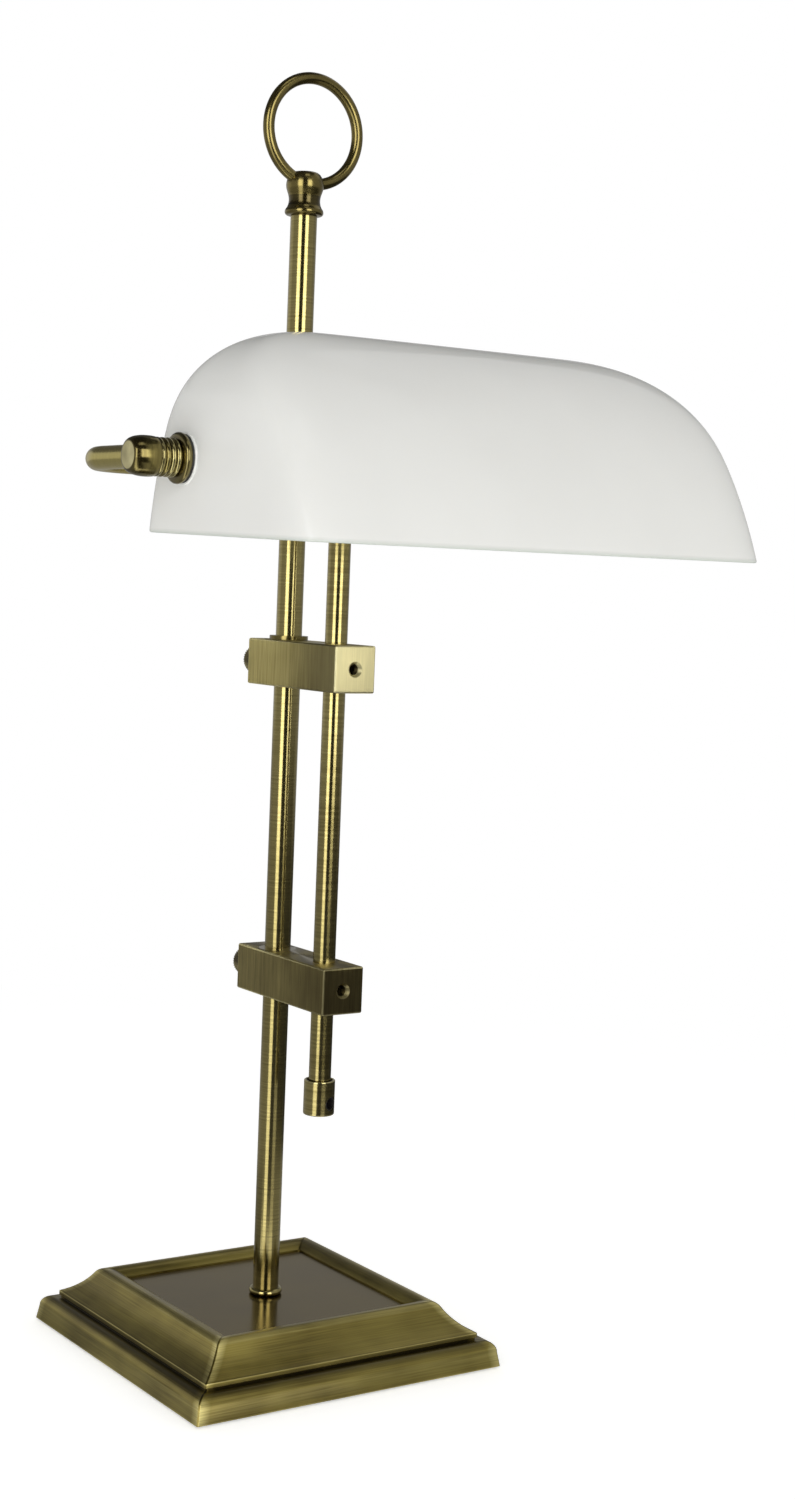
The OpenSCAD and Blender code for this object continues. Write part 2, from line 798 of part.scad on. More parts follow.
// Hollow threaded nipple through collar, flange, gaskets and glass
module pivot_nipple(side) {
    on_pivot(side) difference() {
        bar(nipple_d/2, nipple_in, nipple_out);
        bar(nipple_bore/2, nipple_in - eps, nipple_out + eps);
    }
}

module pivot_nipple_left() {
    color(brass) pivot_nipple(-1);
}

module pivot_nipple_right() {
    color(brass) pivot_nipple(1);
}

module pivot_washer(side) {
    on_pivot(side) difference() {
        bar(pivot_washer_d/2, washer_in, washer_out);
        bar(nipple_d/2 + seat/2, washer_in - eps, washer_out + eps);
    }
}

module pivot_washer_left() {
    color(brass) pivot_washer(-1);
}

module pivot_washer_right() {
    color(brass) pivot_washer(1);
}

module lock_nut_right() {
    color(brass) on_pivot(1) difference() {
        translate([0, 0, washer_in - lock_nut_t]) cylinder(d=lock_nut_w/cos(30), h=lock_nut_t, $fn=6);
        bar(nipple_d/2 + seat/2, washer_in - lock_nut_t - eps, washer_in + eps);
    }
}

// Lampholder on the left-hand nipple: domed cap, skirt, screw shell and centre contact
module holder_cap() {
    r = holder_d/2;
    neck_r = pivot_washer_d/2 - 1;
    neck = 3;
    dome = [for (i = [0:8]) let (t = 90*i/8)
        [neck_r + (r - neck_r)*sin(t), washer_in - neck - (holder_cap_len - neck - 4)*(1 - cos(t))]];
    color(black_resin) on_pivot(-1) difference() {
        rotate_extrude() polygon(concat(
            [[0, holder_cap_in], [0, washer_in], [neck_r, washer_in]], dome, [[r, holder_cap_in]]));
        bar(nipple_d/2 + seat/2, nipple_in - seat, washer_in + eps);
        bar(nipple_bore/2, holder_cap_in - eps, washer_in);
    }
}

module holder_skirt() {
    r = holder_d/2;
    bevel = 0.8;
    shell_r = shell_bore/2 + shell_wall + seat/2;
    color(black_resin) on_pivot(-1) difference() {
        rotate_extrude() polygon([
            [0, skirt_in], [r - holder_wall, skirt_in], [r - holder_wall/2, skirt_in + bevel],
            [r - holder_wall/2, holder_cap_in - 6], [r, holder_cap_in - 5],
            [r, holder_cap_in], [0, holder_cap_in]]);
        bar(shell_r, shell_out - shell_len, skirt_floor);
        bar(r - holder_wall, skirt_in - eps, shell_out - shell_len + eps);
        bar(nipple_bore/4, skirt_floor - eps, holder_cap_in + eps);
    }
}

module holder_shell() {
    color(cap_metal) on_pivot(-1) difference() {
        bar(shell_bore/2 + shell_wall, shell_out - shell_len, shell_out);
        bar(shell_bore/2, shell_out - shell_len - eps, shell_out + eps);
    }
}

module holder_contact() {
    color(brass) on_pivot(-1) bar(shell_bore/4, skirt_floor - contact_t, skirt_floor);
}

// Tubular bulb: screw cap with a contact tip, and a glass envelope with a round end
module bulb_cap() {
    r = bulb_cap_d/2;
    tip = 3;
    color(cap_metal) on_pivot(-1) rotate_extrude() polygon([
        [0, bulb_cap_in], [r, bulb_cap_in], [r, bulb_cap_out - tip],
        [r/2, bulb_cap_out - tip/3], [r/3, bulb_cap_out], [0, bulb_cap_out]]);
}

module bulb_envelope(r, length) {
    neck_r = bulb_cap_d/2 - (bulb_d/2 - r);
    rotate_extrude() polygon(concat(
        [[0, 0], [neck_r, 0]],
        [for (i = [0:8]) let (t = i/8) [neck_r + (r - neck_r)*(1 - cos(180*t))/2, 14*t]],
        arc_points(0, length - r, r, 0, 90, 12)
    ));
}

module bulb_glass() {
    color(opal) on_pivot(-1) translate([0, 0, bulb_cap_in]) mirror([0, 0, 1]) difference() {
        bulb_envelope(bulb_d/2, bulb_len);
        translate([0, 0, bulb_wall]) bulb_envelope(bulb_d/2 - bulb_wall, bulb_len - 2*bulb_wall);
    }
}

// Share of a rim's reach that is left at height share t, on an arch of height h centred d below the rim
function arch(t, h, d) = sqrt(max(0, 1 - pow((t*h + d)/(h + d), 2))/(1 - pow(d/(h + d), 2)));

// Half length of the glass at height share t: upright end walls that round over to the ridge
function end_half(t, half, ridge, upright) =
    let (s = max(0, (t - upright)/(1 - upright)))
    ridge + (half - ridge)*pow(max(0, 1 - pow(s, end_fullness)), 1/end_fullness);

function signed_pow(v, p) = sign(v)*pow(abs(v), p);

// One level ring of the glass, inset from the outer surface, about the pivot
function glass_ring(t, inset, sides) =
    let (
        h = shade_h - inset,
        x = end_half(t, shade_len/2 - inset, ridge_len/2 - inset, end_upright/shade_h),
        front = (front_reach - inset)*arch(t, h, front_sink),
        back = (back_reach - inset)*arch(t, h, back_sink),
        p = 2/(rim_square + (ridge_square - rim_square)*t)
    )
    [for (i = [0:sides - 1]) let (a = 360*(i + 0.5)/sides) [
        x*signed_pow(cos(a), p),
        -ridge_fwd + (back - front)/2 + (back + front)/2*signed_pow(sin(a), p),
        -rim_drop + h*t
    ]];

// Closed shell between the outer and the inner surface of the glass
module glass_shell() {
    sides = 56;
    levels = 16;
    top = 88.2;
    heights = [for (k = [0:levels]) sin(top*k/levels)];
    outer = [for (t = heights) each glass_ring(t, 0, sides)];
    inner = [for (t = heights) each glass_ring(t, shade_wall, sides)];
    skin = len(outer);
    walls = [for (k = [0:levels - 1], i = [0:sides - 1])
        let (a = k*sides + i, b = k*sides + (i + 1)%sides, c = b + sides, d = a + sides)
        each [[a, d, c], [a, c, b], [skin + a, skin + c, skin + d], [skin + a, skin + b, skin + c]]];
    rim = [for (i = [0:sides - 1]) let (j = (i + 1)%sides) each [[i, j, skin + j], [i, skin + j, skin + i]]];
    last = levels*sides;
    crown = [[for (i = [sides - 1:-1:0]) last + i], [for (i = [0:sides - 1]) skin + last + i]];
    polyhedron(concat(outer, inner), concat(walls, rim, crown));
}

module glass_shade() {
    color(opal) translate([0, pivot_y, yoke_z]) rotate([shade_tilt, 0, 0]) difference() {
        glass_shell();
        rotate([0, 90, 0]) bar(shade_hole_r, -shade_len, shade_len);
    }
}

// Outer gasket with a spigot that lines the hole in the glass, and a flat inner one clear of the bowed wall
module outer_gasket(side) {
    on_pivot(side) difference() {
        union() {
            bar(gasket_d/2, glass_out, gasket_out);
            bar(shade_hole_r - seat, glass_in, glass_out + eps);
        }
        bar(nipple_d/2 + run, glass_in - eps, gasket_out + eps);
    }
}

module outer_gasket_left() {
    color(rubber) outer_gasket(-1);
}

module outer_gasket_right() {
    color(rubber) outer_gasket(1);
}

module inner_gasket(side) {
    on_pivot(side) difference() {
        bar(gasket_d/2, gasket_in, gasket_seat);
        bar(nipple_d/2 + run, gasket_in - eps, gasket_seat + eps);
    }
}

module inner_gasket_left() {
    color(rubber) inner_gasket(-1);
}

module inner_gasket_right() {
    color(rubber) inner_gasket(1);
}

// Places a piece at the back of a block: its own Z runs backwards from the post's axis
module behind_post(z) {
    translate([0, 0, z]) rotate([-90, 0, 0]) children();
}

// Thumbscrew: shank with a nib for the pad, and a bevelled head with straight knurls
module thumbscrew(z) {
    r = knob_d/2;
    back = knob_y + knob_t;
    core_r = r - 1.5*knurl_depth;
    rim_r = core_r - knob_bevel;
    teeth = [for (i = [0:2*knurls - 1])
        let (a = 180*i/knurls, q = r - (i%2)*knurl_depth) [q*cos(a), q*sin(a)]];
    behind_post(z) {
        bar(nib_d/2, screw_tip_y - nib_len, screw_tip_y + eps);
        bar(screw_d/2, screw_tip_y, knob_y + eps);
        translate([0, 0, knob_y + knob_bevel]) linear_extrude(knob_t - 2*knob_bevel) polygon(teeth);
        rotate_extrude() polygon([
            [0, knob_y], [rim_r, knob_y], [core_r, knob_y + knob_bevel],
            [core_r, back - knob_bevel], [rim_r, back], [0, back]]);
    }
}

module upper_thumbscrew() {
    color(dark_brass) thumbscrew(upper_z);
}

module lower_thumbscrew() {
    color(dark_brass) thumbscrew(lower_z);
}

// Pressure pad that the screw carries on its nib and presses against the bush
module pressure_pad(z) {
    behind_post(z) difference() {
        bar(pad_d/2, pad_tip_y, pad_tip_y + pad_t);
        bar(nib_d/2 + run, screw_tip_y - nib_len - face_gap, pad_tip_y + pad_t + eps);
    }
}

module upper_pad() {
    color(brass) pressure_pad(upper_z);
}

module lower_pad() {
    color(brass) pressure_pad(lower_z);
}

base_felt();
base_ballast();
base_plinth();
base_tier();
base_plate();
post();
post_foot_ring();
post_stud();
post_washer();
post_nut();
finial();
finial_ring();
upper_bush();
lower_bush();
upper_block();
lower_block();
grub_screws();
slide_rod();
rod_end_cap();
outlet_bush();
yoke_tee();
yoke_tube_left();
yoke_tube_right();
elbow_left();
elbow_right();
pivot_collar_left();
pivot_collar_right();
pivot_flange_left();
pivot_flange_right();
pivot_nipple_left();
pivot_nipple_right();
pivot_washer_left();
pivot_washer_right();
lock_nut_right();
holder_cap();
holder_skirt();
holder_shell();
holder_contact();
bulb_cap();
bulb_glass();
glass_shade();
outer_gasket_left();
outer_gasket_right();
inner_gasket_left();
inner_gasket_right();
upper_thumbscrew();
lower_thumbscrew();
upper_pad();
lower_pad();
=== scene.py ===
import math

import bmesh
import bpy
from mathutils import Matrix, Vector


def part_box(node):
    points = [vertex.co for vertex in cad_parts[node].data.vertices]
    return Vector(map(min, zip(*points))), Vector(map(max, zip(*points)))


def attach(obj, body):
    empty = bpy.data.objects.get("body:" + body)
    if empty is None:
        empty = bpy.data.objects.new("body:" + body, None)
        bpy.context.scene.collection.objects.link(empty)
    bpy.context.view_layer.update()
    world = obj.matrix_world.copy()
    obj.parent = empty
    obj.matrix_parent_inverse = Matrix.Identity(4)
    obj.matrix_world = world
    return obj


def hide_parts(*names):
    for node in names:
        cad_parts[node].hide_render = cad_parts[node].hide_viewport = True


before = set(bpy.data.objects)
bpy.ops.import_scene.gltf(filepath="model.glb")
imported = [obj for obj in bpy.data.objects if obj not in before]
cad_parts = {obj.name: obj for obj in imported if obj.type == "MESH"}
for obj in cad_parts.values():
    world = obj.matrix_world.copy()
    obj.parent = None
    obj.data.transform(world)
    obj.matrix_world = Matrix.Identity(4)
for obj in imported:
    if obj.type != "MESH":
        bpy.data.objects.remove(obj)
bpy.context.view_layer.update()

mm = 0.001
white = (1, 1, 1, 1)
scene = bpy.context.scene
scene.view_settings.view_transform = "Standard"
print("frame loaded with", len(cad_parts), "nodes")


def hexToLinear(code):
    channels = [int(code[i:i + 2], 16) / 255 for i in (1, 3, 5)]
    linear = [c / 12.92 if c <= 0.04045 else ((c + 0.055) / 1.055) ** 2.4 for c in channels]
    return (*linear, 1.0)


# Fills a node's sockets: each value is a constant or a socket to link
def fillSockets(tree, node, inputs):
    for socket, value in inputs.items():
        if isinstance(value, bpy.types.NodeSocket):
            tree.links.new(value, node.inputs[socket])
        else:
            node.inputs[socket].default_value = value


# Adds one node with its inputs and its own settings
def addNode(tree, kind, inputs=None, **settings):
    node = tree.nodes.new(kind)
    for name, value in settings.items():
        setattr(node, name, value)
    fillSockets(tree, node, inputs or {})
    return node


def newMaterial(name):
    material = bpy.data.materials.new(name)
    material.use_nodes = True
    tree = material.node_tree
    return material, tree, tree.nodes["Principled BSDF"]


# Lowest and highest corner of a node of the frame, in millimetres
def boxOf(node):
    low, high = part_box(node)
    return low / mm, high / mm


# Camera, solved from the base, blocks, post and glass in the photograph
photoView = {
    "place": (-540.6, -888.2, 361.6),
    "yaw": -34.18,
    "pitch": 4.42,
    "roll": -2.28,
    "focalPixels": 2268,
    "frameHeight": 1500,
    "sensor": 36.0,
}


def makeCamera(view):
    yaw, pitch, roll = (math.radians(view[k]) for k in ("yaw", "pitch", "roll"))
    level = math.cos(pitch)
    forward = Vector((-math.sin(yaw) * level, math.cos(yaw) * level, -math.sin(pitch)))
    right = Vector((math.cos(yaw), math.sin(yaw), 0))
    down = forward.cross(right)
    rolledRight = math.cos(roll) * right + math.sin(roll) * down
    rolledDown = -math.sin(roll) * right + math.cos(roll) * down
    data = bpy.data.cameras.new("photoCamera")
    data.sensor_width = view["sensor"]
    data.lens = view["sensor"] * view["focalPixels"] / view["frameHeight"]
    camera = bpy.data.objects.new("photoCamera", data)
    scene.collection.objects.link(camera)
    axes = Matrix((rolledRight, -rolledDown, -forward)).transposed().to_4x4()
    camera.matrix_world = Matrix.Translation(Vector(view["place"]) * mm) @ axes
    scene.camera = camera


makeCamera(photoView)

# Studio: lamps give the light, and cards and boards the reflections
# Angles run from the camera's own direction, right is positive; lengths are in millimetres
studio = {
    "ambient": 0.45,
    "floorColour": "#f1f1ef",
    "floorRoughness": 0.9,
    "floorGlow": 0.5,
    "floorMirrored": 0.37,
    "floorRadius": 3000,
    "fadeFrom": 260,
    "fadeTo": 900,
    "cardDistance": 2200,
    "aimHeight": 300,
    # Angle, width, height, distance, height of the middle, watts
    "lamps": {
        "keySoftBox": (-6, 1100, 1300, 1500, 500, 10.6),
        "fillSoftBox": (60, 900, 1300, 1700, 600, 3.0),
        "backSoftBox": (190, 900, 1200, 1700, 900, 3.0),
        "topSoftBox": (0, 1500, 1500, 1, 2000, 1.5),
    },
    # From angle, to angle, bottom, top, level
    "cards": {
        "leftSoftCard": (-42, -15, 0, 1800, 4.4),
        "leftAboveCard": (-42, -15, 1800, 3600, 0.06),
        "cameraGapCard": (-15, 17, 0, 3600, 0.03),
        "rightSoftCard": (18, 44, 70, 1800, 4.6),
        "rightAboveCard": (17, 44, 1800, 3600, 0.06),
        "rightLowCard": (18, 44, 0, 70, 0.1),
        "leftGreyCard": (-95, -42, 0, 1400, 0.45),
        "leftDimCard": (-95, -42, 1400, 3600, 0.1),
        "leftBackLowCard": (-150, -95, 0, 130, 0.3),
        "leftBackCard": (-150, -95, 130, 1150, 0.65),
        "leftBackHighCard": (-150, -95, 1150, 3600, 0.12),
        "rightGreyCard": (44, 100, 130, 3600, 0.45),
        "rightGreyLowCard": (44, 100, 0, 130, 0.1),
        "rightBackCard": (100, 150, 0, 1900, 0.35),
        "rightBackHighCard": (100, 165, 1900, 3600, 0.65),
        "backCard": (150, 210, 0, 1100, 0.4),
        "backAboveCard": (150, 165, 1100, 1900, 0.12),
        "backHighCard": (165, 210, 1100, 3600, 0.12),
    },
    # From angle, to angle, first and last distance, height, level
    "boards": {
        "frontBoard": (-60, 45, 118, 180, 1, 2.0),
        "leftBoard": (-42, -15, 180, 2200, 1, 2.2),
        "gapBoard": (-15, 17, 180, 2200, 1, 0.06),
        "rightBoard": (17, 42, 180, 600, 1, 0.6),
        "rightFarBoard": (17, 44, 600, 2200, 1, 0.05),
        "rightSideBoard": (44, 160, 350, 2200, 1, 0.05),
        "leftNearBoard": (-150, -62, 90, 300, 1, 0.22),
        "leftFarBoard": (-150, -42, 600, 2200, 1, 0.32),
        "overheadCard": (0, 50, 900, 1900, 3400, 1.4),
        "ceilingCard": (0, 360, 2200, 1, 3600, 0.06),
    },
}
cameraAngle = math.atan2(photoView["place"][1], photoView["place"][0])


def studioSpot(degrees, distance, z):
    angle = cameraAngle + math.radians(degrees)
    return Vector((math.cos(angle) * distance, math.sin(angle) * distance, z)) * mm


# A sheet seen in reflections only, from one distance and height to another
def makeCard(name, start, end, first, last, level):
    steps = max(12, round((end - start) / 15))
    angles = [start + (end - start) * i / steps for i in range(steps + 1)]
    points = [studioSpot(angle, *row) for row in (first, last) for angle in angles]
    faces = [(i, i + 1, steps + i + 2, steps + i + 1) for i in range(steps)]
    mesh = bpy.data.meshes.new(name)
    mesh.from_pydata(points, [], faces)
    material, tree, shader = newMaterial(name)
    tree.nodes.remove(shader)
    glow = addNode(tree, "ShaderNodeEmission", {"Color": white, "Strength": level})
    fillSockets(tree, tree.nodes["Material Output"], {"Surface": glow.outputs[0]})
    mesh.materials.append(material)
    card = bpy.data.objects.new(name, mesh)
    scene.collection.objects.link(card)
    for kind in ("camera", "diffuse", "transmission", "volume_scatter", "shadow"):
        setattr(card, "visible_" + kind, False)


def makeCards():
    distance = studio["cardDistance"]
    for name, (start, end, bottom, top, level) in studio["cards"].items():
        makeCard(name, start, end, (distance, bottom), (distance, top), level)
    for name, (start, end, near, far, height, level) in studio["boards"].items():
        makeCard(name, start, end, (near, height), (far, height), level)


def makeLamps():
    for name, (angle, width, height, distance, middle, watts) in studio["lamps"].items():
        data = bpy.data.lights.new(name, "AREA")
        data.shape = "RECTANGLE"
        data.size = width * mm
        data.size_y = height * mm
        data.energy = watts
        lamp = bpy.data.objects.new(name, data)
        scene.collection.objects.link(lamp)
        lamp.location = studioSpot(angle, distance, middle)
        aim = Vector((0, 0, studio["aimHeight"] * mm)) - lamp.location
        lamp.rotation_euler = aim.to_track_quat("-Z", "Y").to_euler()
        lamp.visible_glossy = False


def makeWorld():
    world = bpy.data.worlds.new("whiteRoom")
    scene.world = world
    world.use_nodes = True
    tree = world.node_tree
    ray = addNode(tree, "ShaderNodeLightPath").outputs
    direct = addNode(tree, "ShaderNodeMath", {0: ray["Is Camera Ray"], 1: ray["Is Glossy Ray"]},
                     operation="MAXIMUM")
    seen = addNode(tree, "ShaderNodeMath", {0: direct.outputs[0], 1: ray["Is Transmission Ray"]},
                   operation="MAXIMUM")
    level = addNode(tree, "ShaderNodeMapRange", {
        "Value": seen.outputs[0], "To Min": studio["ambient"], "To Max": 1})
    fillSockets(tree, tree.nodes["Background"], {"Color": white, "Strength": level.outputs[0]})


# The floor takes the shadow near the lamp, fades to plain white further out, and can't be seen from below
def makeFloor():
    steps = 96
    rings = [studio["fadeFrom"], studio["fadeTo"], studio["floorRadius"]]
    points = [(0, 0, 0)]
    for radius in rings:
        for i in range(steps):
            angle = 2 * math.pi * i / steps
            points.append((radius * mm * math.cos(angle), radius * mm * math.sin(angle), 0))
    faces = [(0, 1 + i, 1 + (i + 1) % steps) for i in range(steps)]
    for ring in range(len(rings) - 1):
        a = 1 + ring * steps
        b = a + steps
        faces += [(a + i, b + i, b + (i + 1) % steps, a + (i + 1) % steps) for i in range(steps)]
    mesh = bpy.data.meshes.new("paleFloor")
    mesh.from_pydata(points, [], faces)
    material, tree, shader = newMaterial("palePaperFloor")
    fillSockets(tree, shader, {
        "Base Color": hexToLinear(studio["floorColour"]), "Roughness": studio["floorRoughness"],
        "Specular IOR Level": 0.0, "Emission Color": white, "Emission Strength": studio["floorGlow"]})
    place = addNode(tree, "ShaderNodeTexCoord").outputs["Object"]
    far = addNode(tree, "ShaderNodeVectorMath", {0: place}, operation="LENGTH").outputs["Value"]
    fade = addNode(tree, "ShaderNodeMapRange", {
        "Value": far, "From Min": studio["fadeFrom"] * mm, "From Max": studio["fadeTo"] * mm,
    }, interpolation_type="SMOOTHSTEP").outputs[0]
    plain = addNode(tree, "ShaderNodeEmission", {"Color": white, "Strength": 1.0}).outputs[0]
    paper = addNode(tree, "ShaderNodeMixShader", {0: fade, 1: shader.outputs[0], 2: plain}).outputs[0]
    glossy = addNode(tree, "ShaderNodeLightPath").outputs["Is Glossy Ray"]
    dim = addNode(tree, "ShaderNodeEmission", {
        "Color": white, "Strength": studio["floorMirrored"]}).outputs[0]
    mirrored = addNode(tree, "ShaderNodeMixShader", {0: glossy, 1: paper, 2: dim}).outputs[0]
    back = addNode(tree, "ShaderNodeNewGeometry").outputs["Backfacing"]
    clear = addNode(tree, "ShaderNodeBsdfTransparent").outputs[0]
    oneSided = addNode(tree, "ShaderNodeMixShader", {0: back, 1: mirrored, 2: clear}).outputs[0]
    fillSockets(tree, tree.nodes["Material Output"], {"Surface": oneSided})
    mesh.materials.append(material)
    floor = bpy.data.objects.new("paleFloor", mesh)
    scene.collection.objects.link(floor)


makeWorld()
makeFloor()
makeLamps()
makeCards()
print("studio set up")

# The part of a noise's range that holds most of it, stretched to the full range of a look
noiseRange = {"From Min": 0.3, "From Max": 0.7}


# Scales of the brush lines along X, Y and Z for each way a piece was brushed
def brushScale(way, spacing, length):
    fine, slow = 1 / (spacing * mm), 1 / (length * mm)
    return {"roundX": (fine, slow, slow), "roundY": (slow, fine, slow), "roundZ": (slow, slow, fine),
            "upright": (fine, fine, slow)}[way]


# What all the brass has in common, with the depth of its lines in millimetres
brassCommon = {"patchFrom": 0.75, "patchTo": 1.25, "leastRub": 0.3, "stainShare": 0.9, "lineDepth": 0.05,
               "lacquerRoughness": 0.12}


# Brass, brushed and then darkened: lines along the brushing, brown patina in the hollows, bright rubbed
# edges; the same marks also paint glints, the highlight beside the mitres and the shade on the plinth's
# shoulder
def antiqueBrass(name, look):
    material, tree, shader = newMaterial(name)
    colours = {key: hexToLinear(look[key]) for key in ("light", "dark", "rubbed", "stainAndShade")}
    place = addNode(tree, "ShaderNodeTexCoord").outputs["Object"]
    if look["brush"] == "sides":
        # On the square base the lines run along each side, so they turn at the mitres
        axes = addNode(tree, "ShaderNodeSeparateXYZ", {0: place}).outputs
        wide = addNode(tree, "ShaderNodeMath", {0: axes["X"]}, operation="ABSOLUTE").outputs[0]
        deep = addNode(tree, "ShaderNodeMath", {0: axes["Y"]}, operation="ABSOLUTE").outputs[0]
        endSide = addNode(tree, "ShaderNodeMath", {0: wide, 1: deep}, operation="GREATER_THAN").outputs[0]
        along = addNode(tree, "ShaderNodeMix", {"Factor": endSide, "A": axes["X"], "B": axes["Y"]})
        out = addNode(tree, "ShaderNodeMath", {0: wide, 1: deep}, operation="MAXIMUM").outputs[0]
        rise = addNode(tree, "ShaderNodeMath", {0: axes["Z"], 1: out}, operation="SUBTRACT").outputs[0]
        source = addNode(tree, "ShaderNodeCombineXYZ", {
            "X": along.outputs["Result"], "Y": rise, "Z": endSide}).outputs[0]
        sideShift = 7.0    # keeps the lines of the front and end sides apart
        scale = (1 / (look["lineLength"] * mm), 1 / (look["lineSpacing"] * mm), sideShift)
    elif look["brush"] == "along":
        # On a bent tube the lines ring it all the way, so they follow its own length
        travel = addNode(tree, "ShaderNodeAttribute", attribute_name="along").outputs["Fac"]
        source = addNode(tree, "ShaderNodeCombineXYZ", {"X": travel}).outputs[0]
        scale = (1 / (look["lineSpacing"] * mm), 1, 1)
    else:
        source = place
        scale = brushScale(look["brush"], look["lineSpacing"], look["lineLength"])
    stretched = addNode(tree, "ShaderNodeMapping", {"Vector": source, "Scale": scale}).outputs[0]
    lines = addNode(tree, "ShaderNodeTexNoise", {
        "Vector": stretched, "Scale": 1.0, "Detail": 2.0, "Roughness": 0.6}).outputs["Fac"]
    clouds = addNode(tree, "ShaderNodeTexNoise", {
        "Vector": place, "Scale": 1 / (look["patinaSize"] * mm), "Detail": 2.0}).outputs["Fac"]
    sharpLines = addNode(tree, "ShaderNodeMapRange", {
        **noiseRange, "Value": lines, "To Min": -look["lineContrast"], "To Max": look["lineContrast"]})
    softClouds = addNode(tree, "ShaderNodeMapRange", {
        **noiseRange, "Value": clouds, "To Min": 0.5 - look["patina"], "To Max": 0.5 + look["patina"]})
    tone = addNode(tree, "ShaderNodeMath", {0: softClouds.outputs[0], 1: sharpLines.outputs[0]},
                   operation="ADD", use_clamp=True)
    metal = addNode(tree, "ShaderNodeMix", {
        "Factor": tone.outputs[0], "A": colours["dark"], "B": colours["light"]}, data_type="RGBA")
    # Edges are rubbed bright in patches, more where both noises are high; the same mix paints the glints in
    # the blocks' tapped holes and the highlight beside the mitres
    wearAndPaintedLight = addNode(tree, "ShaderNodeAttribute", attribute_name="wearAndPaintedLight").outputs["Fac"]
    broken = addNode(tree, "ShaderNodeMath", {0: clouds, 1: lines}, operation="ADD")
    patches = addNode(tree, "ShaderNodeMapRange", {
        "Value": broken.outputs[0], "From Min": brassCommon["patchFrom"], "From Max": brassCommon["patchTo"],
        "To Min": brassCommon["leastRub"] * look["rub"], "To Max": look["rub"]})
    bright = addNode(tree, "ShaderNodeMath", {0: wearAndPaintedLight, 1: patches.outputs[0]},
                     operation="MULTIPLY", use_clamp=True)
    rubbed = addNode(tree, "ShaderNodeMix", {
        "Factor": bright.outputs[0], "A": metal.outputs["Result"], "B": colours["rubbed"]}, data_type="RGBA")
    finish = rubbed.outputs["Result"]
    if "rodwardDarkening" in look:
        # The sides of the blocks darken towards the rod. The front ends get a colour of their own: a painted
        # highlight on the upper block and painted shade on the lower one
        spot = addNode(tree, "ShaderNodeSeparateXYZ", {0: place}).outputs
        towards = addNode(tree, "ShaderNodeMapRange", {
            "Value": spot["Y"], "From Min": look["darkenFrom"] * mm, "From Max": look["darkenTo"] * mm,
            "To Min": 0.0, "To Max": look["rodwardDarkening"]}, interpolation_type="SMOOTHSTEP").outputs[0]
        normal = addNode(tree, "ShaderNodeNewGeometry").outputs["Normal"]
        facing = addNode(tree, "ShaderNodeSeparateXYZ", {0: normal}).outputs
        sideways = addNode(tree, "ShaderNodeMath", {0: facing["X"]}, operation="ABSOLUTE").outputs[0]
        amount = addNode(tree, "ShaderNodeMath", {0: towards, 1: sideways}, operation="MULTIPLY").outputs[0]
        browned = addNode(tree, "ShaderNodeMix", {
            "Factor": amount, "A": finish, "B": colours["stainAndShade"]}, data_type="RGBA").outputs["Result"]
        forward = addNode(tree, "ShaderNodeMath", {0: facing["Y"], 1: -look["frontPaintedShare"]},
                          operation="MULTIPLY", use_clamp=True).outputs[0]
        finish = addNode(tree, "ShaderNodeMix", {
            "Factor": forward, "A": browned, "B": hexToLinear(look["frontPaintedLight"])},
            data_type="RGBA").outputs["Result"]
    hollowAndShade = addNode(tree, "ShaderNodeMath", {0: wearAndPaintedLight, 1: -brassCommon["stainShare"]},
                     operation="MULTIPLY", use_clamp=True)
    stainedAndShaded = addNode(tree, "ShaderNodeMix", {
        "Factor": hollowAndShade.outputs[0], "A": finish, "B": colours["stainAndShade"]}, data_type="RGBA")
    gloss = addNode(tree, "ShaderNodeMapRange", {
        **noiseRange, "Value": lines, "To Min": look["roughness"] - look["roughSpread"],
        "To Max": look["roughness"] + look["roughSpread"]})
    grooves = addNode(tree, "ShaderNodeBump", {
        "Height": lines, "Strength": look["lineRelief"], "Distance": brassCommon["lineDepth"] * mm})
    # Highlights stretch across the brush lines
    axis = look["brush"][-1] if look["brush"].startswith("round") else "Z"
    around = addNode(tree, "ShaderNodeTangent", direction_type="RADIAL", axis=axis)
    fillSockets(tree, shader, {
        "Metallic": 1.0, "Base Color": stainedAndShaded.outputs["Result"], "Roughness": gloss.outputs[0],
        "Normal": grooves.outputs[0], "Tangent": around.outputs[0], "Anisotropic": look["stretch"],
        "Anisotropic Rotation": 0.0 if look["brush"] == "upright" else 0.25,
        "Coat Weight": look["lacquer"], "Coat Roughness": brassCommon["lacquerRoughness"]})
    return material


# Real brush lines are 0.05 to 0.2 mm apart; they are drawn several times coarser, so that they show here
turnedLook = {
    "light": "#a89b63", "dark": "#867a47", "rubbed": "#ddd39c", "stainAndShade": "#352d17",
    "roughness": 0.17, "roughSpread": 0.008, "lineSpacing": 0.9, "lineLength": 80, "lineContrast": 0.5,
    "lineRelief": 0.0, "patina": 0.15, "patinaSize": 30, "stretch": 0.5, "rub": 0.8, "lacquer": 0.35}
baseLook = {
    "light": "#a6974f", "dark": "#716432", "rubbed": "#e4d68c", "stainAndShade": "#2a2311",
    "roughness": 0.32, "roughSpread": 0.04, "lineSpacing": 0.8, "lineLength": 40, "lineContrast": 0.27,
    "lineRelief": 0.03, "patina": 0.36, "patinaSize": 34, "brush": "sides", "stretch": 0.5, "rub": 1.6,
    "lacquer": 0.2}
